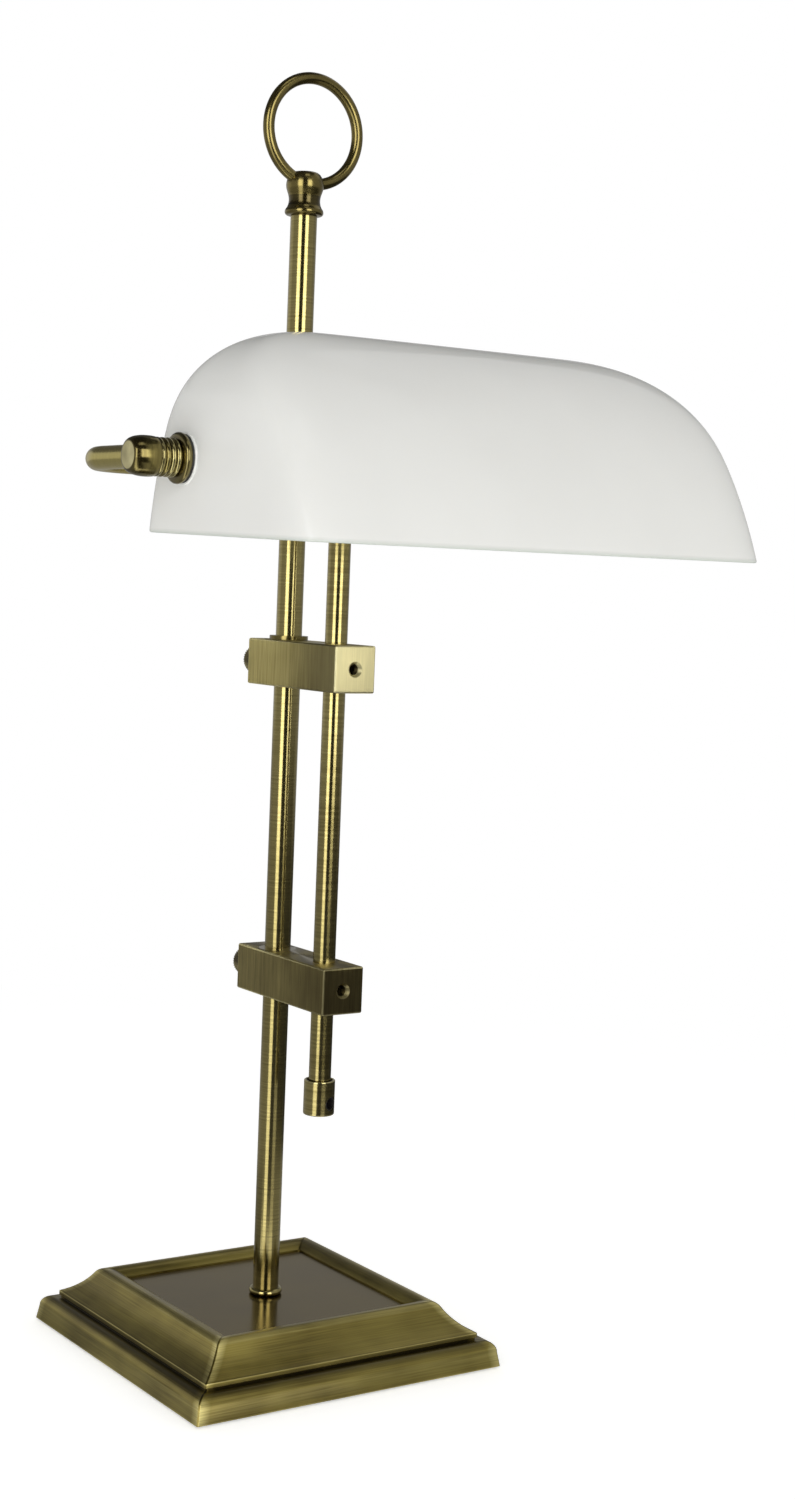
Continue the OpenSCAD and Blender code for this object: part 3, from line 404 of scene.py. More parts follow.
# Upper block: the brass is drawn lighter, as a painted highlight, and its front end is painted pale, also a
# painted highlight
upperLitBlockLook = {
    **turnedLook, "light": "#c6b978", "dark": "#8d8049", "roughness": 0.34, "roughSpread": 0.03,
    "lineSpacing": 0.6, "lineLength": 22, "lineContrast": 0.3, "patina": 0.25, "patinaSize": 26,
    "brush": "upright", "stretch": 1.0, "rub": 1.0, "lacquer": 0.1, "rodwardDarkening": 0.75,
    "darkenFrom": 8, "darkenTo": -50, "frontPaintedLight": "#e6dfb6", "frontPaintedShare": 0.42}
# Lower block: the same brass is drawn darker, as painted shade, and its front end is painted dark, also
# painted shade
lowerShadedBlockLook = {
    **upperLitBlockLook, "light": "#998d5a", "dark": "#655a36", "rodwardDarkening": 0.45, "frontPaintedLight": "#352e21",
    "frontPaintedShare": 0.6}
fittingLook = {
    **turnedLook, "light": "#988b51", "dark": "#5d532c", "roughness": 0.2, "lineContrast": 0.25,
    "patina": 0.3, "patinaSize": 12, "brush": "roundX", "stretch": 0.4, "rub": 1.3, "lacquer": 0.2}
tubeLook = {
    **turnedLook, "light": "#c8b96c", "dark": "#a89a56", "brush": "along", "stretch": 0.0,
    "roughness": 0.26, "lineContrast": 0.35, "lacquer": 0.05}
darkLook = {
    **turnedLook, "light": "#8f824b", "dark": "#5a4e29", "rubbed": "#cfc48a", "stainAndShade": "#1d180c",
    "roughness": 0.23, "patina": 0.25, "patinaSize": 14, "lineContrast": 0.1, "lacquer": 0.2}
wireLook = {**darkLook, "brush": "roundY", "lineLength": 60, "lineSpacing": 6, "stretch": 0.0}
brassRoundZ = antiqueBrass("antiqueBrassTurnedZ", {**turnedLook, "brush": "roundZ"})
brassRoundX = antiqueBrass("antiqueBrassTurnedX", {**turnedLook, "brush": "roundX"})
brassTube = antiqueBrass("antiqueBrassBentTube", tubeLook)
brassUpperLit = antiqueBrass("antiqueBrassUpperBlockLit", upperLitBlockLook)
brassLowerShaded = antiqueBrass("antiqueBrassLowerBlockShaded", lowerShadedBlockLook)
brassBase = antiqueBrass("antiqueBrassBase", baseLook)
brassFitting = antiqueBrass("antiqueBrassFitting", fittingLook)
darkRoundZ = antiqueBrass("darkBrassTurnedZ", {**darkLook, "brush": "roundZ"})
# The flange's dark brass is drawn darker still, partly its own patina and partly painted shade
darkShadedRoundX = antiqueBrass("darkBrassTurnedXShaded", {
    **darkLook, "light": "#766a3d", "dark": "#453b1e", "brush": "roundX"})
darkRoundY = antiqueBrass("darkBrassTurnedY", {
    **darkLook, "light": "#6b5f33", "dark": "#3a311a", "brush": "roundY"})
darkWire = antiqueBrass("darkBrassDrawnWire", wireLook)


# A material with one cloudy colour variation, for the plainer finishes
def mottled(name, look):
    material, tree, shader = newMaterial(name)
    place = addNode(tree, "ShaderNodeTexCoord").outputs["Object"]
    clouds = addNode(tree, "ShaderNodeTexNoise", {
        "Vector": place, "Scale": 1 / (look["grain"] * mm), "Detail": 4.0}).outputs["Fac"]
    spread = addNode(tree, "ShaderNodeMapRange", {**noiseRange, "Value": clouds}).outputs[0]
    colour = addNode(tree, "ShaderNodeMix", {
        "Factor": spread, "A": hexToLinear(look["dark"]), "B": hexToLinear(look["light"])}, data_type="RGBA")
    gloss = addNode(tree, "ShaderNodeMapRange", {
        "Value": spread, "To Min": look["roughness"] - look["roughSpread"],
        "To Max": look["roughness"] + look["roughSpread"]})
    relief = addNode(tree, "ShaderNodeBump", {
        "Height": clouds, "Strength": look["relief"], "Distance": look["reliefDepth"] * mm})
    fillSockets(tree, shader, {
        "Metallic": look.get("metallic", 0.0), "Base Color": colour.outputs["Result"],
        "Roughness": gloss.outputs[0], "Normal": relief.outputs[0], **look.get("fixed", {})})
    return material


# Bronzed sheet under clear lacquer: dark brown, smooth enough to mirror the post
bronzePlate = mottled("lacqueredBronzePlate", {
    "light": "#75663a", "dark": "#64562f", "metallic": 1.0, "grain": 38, "roughness": 0.17,
    "roughSpread": 0.03, "relief": 0.05, "reliefDepth": 0.02})
# Nitrile rubber: black, dull, faintly dusty
rubberBlack = mottled("nitrileRubber", {
    "light": "#2a2a28", "dark": "#161615", "grain": 1.2, "roughness": 0.55,
    "roughSpread": 0.08, "relief": 0.2, "reliefDepth": 0.05})
# Moulded phenolic resin: near black with a soft moulded gloss
phenolicBlack = mottled("mouldedPhenolic", {
    "light": "#2c2927", "dark": "#191716", "grain": 2.5, "roughness": 0.3,
    "roughSpread": 0.06, "relief": 0.08, "reliefDepth": 0.03})
# Nickel plated sheet of the lampholder and the bulb's cap: pale, warm grey, half bright
nickelSheet = mottled("nickelPlatedBrass", {
    "light": "#d2cdc0", "dark": "#aaa598", "metallic": 1.0, "grain": 6, "roughness": 0.24,
    "roughSpread": 0.06, "relief": 0.05, "reliefDepth": 0.02})
# Zinc plated steel of the hidden fasteners: cool grey, softly dull
zincSteel = mottled("zincPlatedSteel", {
    "light": "#b9bdc0", "dark": "#8e9295", "metallic": 1.0, "grain": 3, "roughness": 0.35,
    "roughSpread": 0.08, "relief": 0.05, "reliefDepth": 0.02})
# Grey iron as cast: dark, rough, pitted
castIron = mottled("greyCastIron", {
    "light": "#565452", "dark": "#373533", "metallic": 1.0, "grain": 1.5, "roughness": 0.7,
    "roughSpread": 0.1, "relief": 0.6, "reliefDepth": 0.2})
# Pressed wool felt: fuzzy, no gloss
woolFelt = mottled("pressedWoolFelt", {
    "light": "#35513f", "dark": "#22382a", "grain": 0.8, "roughness": 0.95,
    "roughSpread": 0.04, "relief": 0.8, "reliefDepth": 0.25,
    "fixed": {"Sheen Weight": 0.4, "Sheen Roughness": 0.5, "Specular IOR Level": 0.1}})
# Soft clear plastic of the washers on the glass, which looks white against it
clearPlastic = mottled("clearSoftPlastic", {
    "light": "#f2f2ee", "dark": "#e6e6e1", "grain": 4, "roughness": 0.25,
    "roughSpread": 0.04, "relief": 0.03, "reliefDepth": 0.02})
# Opal glass of the bulb: milky, thin, with a soft sheen
bulbOpal = mottled("opalBulbGlass", {
    "light": "#f1f0ec", "dark": "#e6e5e0", "grain": 30, "roughness": 0.18,
    "roughSpread": 0.03, "relief": 0.02, "reliefDepth": 0.05, "fixed": {"IOR": 1.5}})


# Cased opal glass, mould blown and fire polished: milky white with a wet gloss and a grey-green ground rim
def opalGlass(name, look):
    material, tree, shader = newMaterial(name)
    place = addNode(tree, "ShaderNodeTexCoord").outputs["Object"]
    waves = addNode(tree, "ShaderNodeTexNoise", {
        "Vector": place, "Scale": 1 / (look["waveSize"] * mm), "Detail": 1.0}).outputs["Fac"]
    milk = addNode(tree, "ShaderNodeMix", {
        "Factor": waves, "A": hexToLinear(look["shade"]), "B": hexToLinear(look["body"])}, data_type="RGBA")
    rim = addNode(tree, "ShaderNodeAttribute", attribute_name="wearAndPaintedLight").outputs["Fac"]
    edge = addNode(tree, "ShaderNodeMix", {
        "Factor": rim, "A": milk.outputs["Result"], "B": hexToLinear(look["rim"])}, data_type="RGBA")
    ground = addNode(tree, "ShaderNodeMapRange", {
        "Value": rim, "To Min": look["gloss"], "To Max": look["rimGloss"]})
    ripple = addNode(tree, "ShaderNodeBump", {
        "Height": waves, "Strength": look["ripple"], "Distance": look["rippleDepth"] * mm})
    fillSockets(tree, shader, {
        "IOR": 1.5, "Specular IOR Level": look["sheen"], "Subsurface Weight": look["milk"],
        "Subsurface Radius": (1.0, 0.95, 0.9), "Subsurface Scale": look["milkDepth"] * mm,
        "Base Color": edge.outputs["Result"], "Roughness": ground.outputs[0], "Normal": ripple.outputs[0]})
    return material


shadeGlass = opalGlass("casedOpalGlass", {
    "body": "#e8e8e4", "shade": "#e2e2de", "rim": "#aab3a8", "milk": 0.25, "milkDepth": 6, "waveSize": 42,
    "gloss": 0.1, "rimGloss": 0.4, "ripple": 0.15, "rippleDepth": 0.3, "sheen": 0.13})
print("materials made")

# How an outline's corner is rounded: the most of a side it takes, the flat strip beside it, and its wear
rounding = {"share": 0.45, "guard": 1.2, "guardShare": 0.3, "wearEnds": 0.45, "wearMiddle": 0.55}


# Rounds the corners of an outline of (u, v, radius, wear) points; left turns are outer corners, so rubbed
def rounded(points, closed=False, segments=4):
    corners = [tuple(p) + (0,) * (4 - len(p)) for p in points]
    path = []
    for i, (u, v, radius, wearAndPaintedLight) in enumerate(corners):
        here = Vector((u, v))
        if radius == 0 or (not closed and i in (0, len(corners) - 1)):
            path.append((u, v, wearAndPaintedLight))
            continue
        back = Vector(corners[i - 1][:2]) - here
        ahead = Vector(corners[(i + 1) % len(corners)][:2]) - here
        turn = math.pi - back.angle(ahead)
        most = rounding["share"]
        reach = min(radius * math.tan(turn / 2), most * back.length, most * ahead.length)
        outer = 1 if back.y * ahead.x - back.x * ahead.y > 0 else -1
        start = here + back.normalized() * reach
        end = here + ahead.normalized() * reach
        strip = rounding["guard"] * radius
        guardBack = start + back.normalized() * min(strip, rounding["guardShare"] * (back.length - reach))
        guardAhead = end + ahead.normalized() * min(strip, rounding["guardShare"] * (ahead.length - reach))
        path.append((*guardBack, wearAndPaintedLight))
        for k in range(segments + 1):
            t = k / segments
            spot = (1 - t) ** 2 * start + 2 * t * (1 - t) * here + t ** 2 * end
            rub = rounding["wearEnds"] + rounding["wearMiddle"] * math.sin(math.pi * t)
            path.append((*spot, wearAndPaintedLight + outer * rub))
        path.append((*guardAhead, wearAndPaintedLight))
    return path


def arc(u, v, radius, fromDegrees, toDegrees, steps, wearAndPaintedLight=0):
    angles = [math.radians(fromDegrees + (toDegrees - fromDegrees) * i / steps) for i in range(steps + 1)]
    return [(u + radius * math.cos(a), v + radius * math.sin(a), 0, wearAndPaintedLight) for a in angles]


# A smooth line through the points, by the slope between their neighbours
def smoothLine(spots, steps=5):
    line = []
    last = len(spots) - 1
    for i in range(last):
        before, here, there, after = (Vector(spots[min(max(k, 0), last)]) for k in range(i - 1, i + 3))
        for k in range(steps):
            t = k / steps
            line.append(0.5 * (2 * here + (there - before) * t
                               + (2 * before - 5 * here + 4 * there - after) * t ** 2
                               + (3 * here - before - 3 * there + after) * t ** 3))
    return line + [Vector(spots[-1])]


def newPiece(name, mesh):
    piece = bpy.data.objects.new(name, mesh)
    scene.collection.objects.link(piece)
    return piece


# Joins two rows of points with faces, all the way round
def ringFaces(a, b, count):
    return [(a + i, a + (i + 1) % count, b + (i + 1) % count, b + i) for i in range(count)]


# Makes a mesh object from points in millimetres, with how rubbed or stained each point is, and in places
# painted light or shade
def makePiece(name, points, faces, wearAndPaintedLight):
    mesh = bpy.data.meshes.new(name)
    mesh.from_pydata([Vector(p) * mm for p in points], [], faces)
    mesh.attributes.new("wearAndPaintedLight", "FLOAT", "POINT").data.foreach_set("value", wearAndPaintedLight)
    work = bmesh.new()
    work.from_mesh(mesh)
    bmesh.ops.recalc_face_normals(work, faces=work.faces)
    work.to_mesh(mesh)
    work.free()
    return newPiece(name, mesh)


# Turns a (radius, along, wear) profile round an axis; flutes are knurls cut between two places along it
def turned(name, profile, axis="Z", origin=(0, 0, 0), side=1, steps=96, closed=False, flutes=None):
    points, faces, wearsAndPaintedLight, rings = [], [], [], []
    for radius, along, wearAndPaintedLight in profile:
        ring = []
        for i in range(1 if radius < 1e-6 else steps):
            angle = 2 * math.pi * i / steps
            reach = radius
            if flutes and flutes["from"] <= along <= flutes["to"]:
                reach -= flutes["depth"] * (0.5 - 0.5 * math.cos(flutes["count"] * angle))
            a, b, h = reach * math.cos(angle), reach * math.sin(angle), side * along
            spot = {"X": (h, a, b), "Y": (a, h, b), "Z": (a, b, h)}[axis]
            ring.append(len(points))
            points.append(Vector(spot) + Vector(origin))
            wearsAndPaintedLight.append(wearAndPaintedLight)
        rings.append(ring)
    for k in range(len(rings) - (0 if closed else 1)):
        low, high = rings[k], rings[(k + 1) % len(rings)]
        for i in range(steps):
            j = (i + 1) % steps
            face = [low[i % len(low)], low[j % len(low)], high[j % len(high)], high[i % len(high)]]
            face = list(dict.fromkeys(face))
            if len(face) > 2:
                faces.append(face)
    return makePiece(name, points, faces, wearsAndPaintedLight)


# A round cutter between two places along an axis
def cutter(radius, start, end, axis="Z", origin=(0, 0, 0), side=1, steps=72):
    profile = [(0, start, 0), (radius, start, 0), (radius, end, 0), (0, end, 0)]
    return turned("tool", profile, axis, origin, side, steps)


# Outline of an upright tube with a softened upper rim
def tubeOutline(low, high, bore, edge):
    return rounded([(high.x, low.z), (high.x, high.z, edge), (bore / 2, high.z), (bore / 2, low.z)],
                   closed=True)


# Wear at the sides of a mitre and its change on the fold, and the most of a half width that a corner takes
# Outside the crest a dark line runs down the mitre between two rubbed strips, which are partly rubbed wear
# and partly painted highlight
mitre = {"outer": (0.7, -1.1), "inner": (-0.18, -0.22), "share": 0.4}


# A square ring with the same closed outline of (half width, height, wear) on every side and rounded mitres
def mitredFrame(name, outline, corner, crest=0, segments=4, guard=3.0):
    points, faces, wearsAndPaintedLight = [], [], []
    for half, z, wearAndPaintedLight in outline:
        radius = min(corner, mitre["share"] * half)
        inner = half - radius
        spare = min(guard, mitre["share"] * inner)
        side, fold = mitre["outer"] if half > crest else mitre["inner"]
        quarter = [(half, inner - spare, wearAndPaintedLight)]
        for k in range(segments + 1):
            angle = math.pi / 2 * k / segments
            quarter.append((inner + radius * math.cos(angle), inner + radius * math.sin(angle),
                            wearAndPaintedLight + side + fold * math.sin(2 * angle)))
        quarter.append((inner - spare, half, wearAndPaintedLight))
        for turn in range(4):
            c, s = round(math.cos(turn * math.pi / 2)), round(math.sin(turn * math.pi / 2))
            for x, y, rub in quarter:
                points.append((c * x - s * y, s * x + c * y, z))
                wearsAndPaintedLight.append(rub)
    count = 4 * (segments + 3)
    for k in range(len(outline)):
        faces += ringFaces(k * count, (k + 1) % len(outline) * count, count)
    return makePiece(name, points, faces, wearsAndPaintedLight)


# A round bar along a level path
def sweptBar(name, path, radius, steps=48):
    points, faces, travel = [], [], []
    walked = 0.0
    for i, spot in enumerate(path):
        before = path[max(i - 1, 0)]
        walked += (spot - before).length * mm
        travel += [walked] * steps
        ahead = path[min(i + 1, len(path) - 1)] - before
        across = ahead.normalized().cross(Vector((0, 0, 1)))
        for k in range(steps):
            angle = 2 * math.pi * k / steps
            points.append(spot + across * radius * math.cos(angle) + Vector((0, 0, radius * math.sin(angle))))
    for i in range(len(path) - 1):
        faces += ringFaces(i * steps, (i + 1) * steps, steps)
    faces.append(list(range(steps)))
    faces.append(list(range(len(points) - steps, len(points))))
    bar = makePiece(name, points, faces, [0.0] * len(points))
    bar.data.attributes.new("along", "FLOAT", "POINT").data.foreach_set("value", travel)
    return bar


def roundedBlock(name, low, high, radius, segments=4):
    work = bmesh.new()
    bmesh.ops.create_cube(work, size=1.0)
    middle, size = (low + high) / 2, high - low
    for vert in work.verts:
        vert.co = Vector(middle[i] + vert.co[i] * size[i] for i in range(3)) * mm
    bmesh.ops.bevel(work, geom=work.edges[:], offset=radius * mm, segments=segments, profile=0.5,
                    affect="EDGES")
    mesh = bpy.data.meshes.new(name)
    work.to_mesh(mesh)
    work.free()
    return newPiece(name, mesh)


# Cuts one solid from a piece, or joins it to the piece, and removes the tool
def shape(piece, tool, operation="DIFFERENCE"):
    modifier = piece.modifiers.new("shape", "BOOLEAN")
    modifier.object = tool
    modifier.operation = operation
    modifier.solver = "EXACT"
    bpy.context.view_layer.update()
    mesh = bpy.data.meshes.new_from_object(piece.evaluated_get(bpy.context.evaluated_depsgraph_get()))
    piece.modifiers.clear()
    piece.data = mesh
    bpy.data.objects.remove(tool)


# Clears the slivers that several cuts leave, so that the mesh stays closed
def clearSlivers(piece, reach=0.02):
    work = bmesh.new()
    work.from_mesh(piece.data)
    bmesh.ops.remove_doubles(work, verts=work.verts[:], dist=reach * mm)
    bmesh.ops.triangulate(work, faces=[face for face in work.faces if len(face.verts) > 4])
    bmesh.ops.dissolve_degenerate(work, edges=work.edges[:], dist=reach * mm)
    work.to_mesh(piece.data)
    work.free()


# Gives a piece its finish and its body, and hides the plain nodes that it stands for
def dress(piece, body, slot, material, *nodes, sharp=42, even=True):
    mesh = piece.data
    mesh.materials.clear()
    mesh.materials.append(material)
    mesh.shade_smooth()
    mesh.set_sharp_from_angle(angle=math.radians(sharp))
    if even:
        weighted = piece.modifiers.new("evenShading", "WEIGHTED_NORMAL")
        weighted.keep_sharp = True
    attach(piece, body)
    if nodes:
        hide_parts(*nodes)
    return piece


# Base: felt, plinth, coved tier with its raised frame, and the plate in the recess
base = {
    "lean": 1.2, "shoulder": 4.8, "shoulderWear": 0.12, "shoulderShade": 0.9, "wall": 9, "web": 3,
    "ledge": 4.3, "groove": 1.0, "grooveDepth": 0.7, "lip": 2.0, "cove": 28, "coveFoot": 24, "coveTop": 58,
    "crestRound": 4.5, "crestEdge": 1, "frameFace": 7, "frameFall": 3.2, "fit": 0.1, "plinthCorner": 0.8,
    "tierCorner": 0.8, "plinthRubAndHighlight": 5.0, "mitreRubAndHighlight": 4.0, "edge": 0.35, "feltEdge": 0.4, "feltCorner": 2.0,
    "feltHole": 1, "plateHole": 3}


def makePlinth(opening):
    low, high = boxOf("base_plinth")
    tierHigh = boxOf("base_tier")[1]
    shoulder = base["shoulder"]
    cavity = high.x - base["wall"]
    webZ = high.z - base["web"]
    # The shoulder is painted darker towards the groove above it, as painted shade under the tier's lip
    shoulderArc = []
    for x, z, r, w in arc(high.x - base["lean"] - shoulder, high.z - shoulder, shoulder, 0, 90, 10):
        stainAndShade = base["shoulderShade"] * ((z - high.z) / shoulder + 1) ** 2
        shoulderArc.append((x, z, r, base["shoulderWear"] - stainAndShade))
    outline = rounded([
        (cavity, low.z), (high.x, low.z, base["edge"]), *shoulderArc,
        (tierHigh.x - base["grooveDepth"], high.z, 0, -1), (opening, high.z), (opening, webZ), (cavity, webZ),
    ], closed=True)
    plinth = mitredFrame("plinth", outline, base["plinthCorner"], guard=base["plinthRubAndHighlight"])
    dress(plinth, "stand", "brass", brassBase, "base_plinth")


def makeTier(opening, recess):
    low, high = boxOf("base_tier")
    recessZ = boxOf("base_plate")[0].z
    foot = high.x - base["grooveDepth"]
    lipZ = low.z + base["groove"]
    coveZ = lipZ + base["lip"]
    cove, crestRound = base["cove"], base["crestRound"]
    footAngle, topAngle = math.radians(base["coveFoot"]), math.radians(base["coveTop"])
    coveRun = cove * (math.sin(topAngle) - math.sin(footAngle))
    crest = high.x - coveRun - crestRound * math.sin(topAngle)
    fallRadius = (base["frameFace"] ** 2 + base["frameFall"] ** 2) / (2 * base["frameFall"])
    fallAngle = math.degrees(math.asin(base["frameFace"] / fallRadius))
    coveMiddle = (high.x + cove * math.sin(footAngle), coveZ + cove * math.cos(footAngle))
    outline = rounded([
        (opening, low.z), (foot, low.z, 0, -1), (foot, lipZ, 0, -1),
        (high.x, lipZ, base["edge"], -0.6), (high.x, coveZ, base["edge"], -0.4),
        *arc(*coveMiddle, cove, 270 - base["coveFoot"], 270 - base["coveTop"], 14)[1:],
        *arc(crest, high.z - crestRound, crestRound, 90 - base["coveTop"], 90, 8, 0.18)[1:],
        *arc(crest, high.z - fallRadius, fallRadius, 90, 90 + fallAngle, 8)[1:],
        (recess, recessZ), (opening, recessZ),
    ], closed=True)
    tier = mitredFrame("covedTier", outline, base["tierCorner"], crest=crest - base["crestEdge"],
                       guard=base["mitreRubAndHighlight"])
    dress(tier, "stand", "brass", brassBase, "base_tier")


def makeBase():
    plateLow, plateHigh = boxOf("base_plate")
    recess = plateHigh.x + base["fit"]
    opening = recess - base["ledge"]
    makePlinth(opening)
    makeTier(opening, recess)
    plateOutline = rounded([
        (base["plateHole"], plateLow.z), (plateHigh.x, plateLow.z), (plateHigh.x, plateHigh.z, base["edge"]),
        (base["plateHole"], plateHigh.z),
    ], closed=True)
    plate = mitredFrame("recessPlate", plateOutline, base["edge"])
    dress(plate, "stand", "bronze_plate", bronzePlate, "base_plate")
    low, high = boxOf("base_felt")
    feltOutline = rounded([
        (base["feltHole"], low.z), (high.x, low.z, base["feltEdge"]), (high.x, high.z, base["feltEdge"]),
        (base["feltHole"], high.z),
    ], closed=True)
    felt = mitredFrame("feltPad", feltOutline, base["feltCorner"])
    dress(felt, "stand", "felt", woolFelt, "base_felt")


makeBase()
print("base made")

# Post with its foot ring, the finial and the carrying ring through it
post = {"bore": 8, "edge": 0.3, "ringFit": 0.1}
finial = {"spigot": 3.95, "wireFit": 0.1, "waist": (4.2, 8.5), "waistStain": -0.7, "outline": [
    (7.1, 0.0), (8.2, 0.3), (8.75, 1.3), (8.55, 2.5), (7.9, 3.5), (7.35, 4.8), (7.1, 6.3), (7.12, 7.6),
    (7.4, 9.1), (7.95, 10.7), (8.38, 12.2), (8.5, 13.6), (8.3, 15.2), (7.8, 16.7), (6.95, 18.1), (5.8, 19.0),
    (4.5, 19.36), (3.0, 19.4)]}


# The carrying ring, or the hole for it with some room added to its wire
def wireRing(name, room=0):
    low, high = boxOf("finial_ring")
    middle = (low + high) / 2
    wheel = high.x - middle.x - high.y
    profile = [(u, v, 0.0) for u, v, r, w in arc(wheel, 0, high.y + room, 0, 360, 36)[:-1]]
    return turned(name, profile, "Y", (middle.x, 0, middle.z), steps=144, closed=True)


def makePost():
    low, high = boxOf("post")
    outline = tubeOutline(low, high, post["bore"], post["edge"])
    dress(turned("postTube", outline, steps=128, closed=True), "stand", "brass", brassRoundZ, "post")

    ringLow, ringHigh = boxOf("post_foot_ring")
    bead = (ringHigh.z - ringLow.z) / 2
    hole = high.x + post["ringFit"]
    ringProfile = rounded([
        (hole, ringLow.z, 0, -0.6), *arc(ringHigh.x - bead, ringLow.z + bead, bead, -90, 90, 12),
        (hole, ringHigh.z, 0, -0.8)])
    dress(turned("postFootRing", ringProfile, closed=True), "stand", "brass", brassRoundZ, "post_foot_ring")
    dress(wireRing("carryingRing"), "stand", "dark_brass", darkWire, "finial_ring")

    stubLow = boxOf("finial")[0].z
    knob = [(0, stubLow, 0), (finial["spigot"], stubLow, 0), (finial["spigot"], high.z, 0)]
    waistLow, waistHigh = finial["waist"]
    for r, h in smoothLine(finial["outline"]):
        knob.append((r, high.z + h, finial["waistStain"] if waistLow < h < waistHigh else 0.0))
    knob.append((0, knob[-1][1], 0))
    piece = turned("finialKnob", knob)
    shape(piece, wireRing("tool", finial["wireFit"]))
    clearSlivers(piece)
    dress(piece, "stand", "dark_brass", darkRoundZ, "finial", sharp=50)


makePost()
print("post made")

# Clamp blocks, with the tapped hole in front, the bores and the thumbscrew's hole
block = {
    "edge": 0.9, "tapped": 5.0, "thread": 0.5, "pitch": 1.0, "boreFit": 1.58, "screwHole": 5.1,
    "rodFit": 0.05, "flangeSeat": 1.9, "flange": 17.8, "swell": (0.07, 0.1, 0.015), "glint": 0.4,
    "glintDepth": 2.2, "skinFacing": 0.9, "flankFacing": 0.3, "cutSpare": 1}


# Polished blocks swell a little: shades the outer faces as if each bowed out, and the edges as true rounds
def swellFaces(piece, low, high):
    mesh = piece.data
    low, high = low * mm, high * mm
    middle, half = (low + high) / 2, (high - low) / 2
    normals = [corner.vector.copy() for corner in mesh.corner_normals]
    wearsAndPaintedLight = [0.0] * len(mesh.loops)
    inner = [(low[i] + block["edge"] * mm, high[i] - block["edge"] * mm) for i in range(3)]
    mouth = low.y + block["glintDepth"] * mm

    def outward(spot):
        nearest = Vector(min(max(spot[i], inner[i][0]), inner[i][1]) for i in range(3))
        return (spot - nearest).normalized()

    for face in mesh.polygons:
        onSkin = outward(face.center).dot(face.normal) > block["skinFacing"]
        for corner in face.loop_indices:
            if not onSkin:
                # At the hole's mouth the thread's flanks that face forwards get the rubbed colour, a painted
                # glint
                glints = face.normal.y < -block["flankFacing"] and face.center.y < mouth
                wearsAndPaintedLight[corner] = block["glint"] if glints else -1.0
                continue
            spot = mesh.vertices[mesh.loops[corner].vertex_index].co
            lean = Vector((spot[i] - middle[i]) / half[i] for i in range(3))
            normals[corner] = (outward(spot) + Vector(block["swell"]) * lean).normalized()
            # Only the rounded edges, which lie inside all six faces, are rubbed
            wearsAndPaintedLight[corner] = 1.0 if max(abs(part) for part in lean) < 0.99999 else 0.0
    mesh.normals_split_custom_set(normals)
    if "wearAndPaintedLight" in mesh.attributes:
        mesh.attributes.remove(mesh.attributes["wearAndPaintedLight"])
    mesh.attributes.new("wearAndPaintedLight", "FLOAT", "CORNER").data.foreach_set("value", wearsAndPaintedLight)


# The threaded hole as a cutter, from the block's front face to the rod
def tappedHole(depth, origin):
    cut, pitch = block["thread"], block["pitch"]
    hole = block["tapped"] / 2
    mouth = hole + cut
    profile = [(0, -block["cutSpare"]), (mouth + cut, -block["cutSpare"]), (mouth + cut, 0), (hole, 2 * cut)]
    for k in range(int((depth - 3 * cut) / pitch)):
        start = 2 * cut + k * pitch
        profile += [(hole, start + 0.1 * pitch), (mouth, start + 0.5 * pitch), (hole, start + 0.9 * pitch)]
    profile += [(hole, depth), (0, depth)]
    return turned("tool", [(r, h, 0) for r, h in profile], "Y", origin, steps=48)


def makeBlocks():
    rodLow, rodHigh = boxOf("slide_rod")
    rodY = (rodLow.y + rodHigh.y) / 2
    rodRadius = rodHigh.x
    postRadius = boxOf("post")[1].x
    # The upper block gets the lighter copy of the brass and the lower block the darker one: painted highlight
    # and painted shade
    for word, metal in (("upper", brassUpperLit), ("lower", brassLowerShaded)):
        low, high = boxOf(word + "_block")
        z = (low.z + high.z) / 2
        bottom, top = low.z - block["cutSpare"], high.z + block["cutSpare"]
        piece = roundedBlock(word + "Block", low, high, block["edge"])
        shape(piece, tappedHole(rodY - rodRadius - low.y, (0, low.y, z)))
        shape(piece, cutter(postRadius + block["boreFit"], bottom, top))
        if word == "lower":
            shape(piece, cutter(block["flange"] / 2, high.z - block["flangeSeat"], top))
        shape(piece, cutter(rodRadius + block["rodFit"], bottom, top, origin=(0, rodY, 0)))
        shape(piece, cutter(block["screwHole"] / 2, postRadius, high.y + block["cutSpare"], "Y", (0, 0, z),
                            steps=48))
        clearSlivers(piece)
        dress(piece, "carriage", "brass", metal, word + "_block", sharp=30, even=False)
        swellFaces(piece, low, high)


makeBlocks()
print("blocks made")

# Rod and its end cap with the cord outlet
rod = {
    "bore": 7, "edge": 0.3, "capEdge": 0.7, "capFit": 0.05, "capBore": 7, "rebate": 12, "rebateEdge": 0.2,
    "rebateDepth": 1.2, "capFloor": 1.6, "capGrip": 6.5, "outlet": 6.6, "outletRise": 5.4, "outletTurn": 22,
    "outletReach": 12}


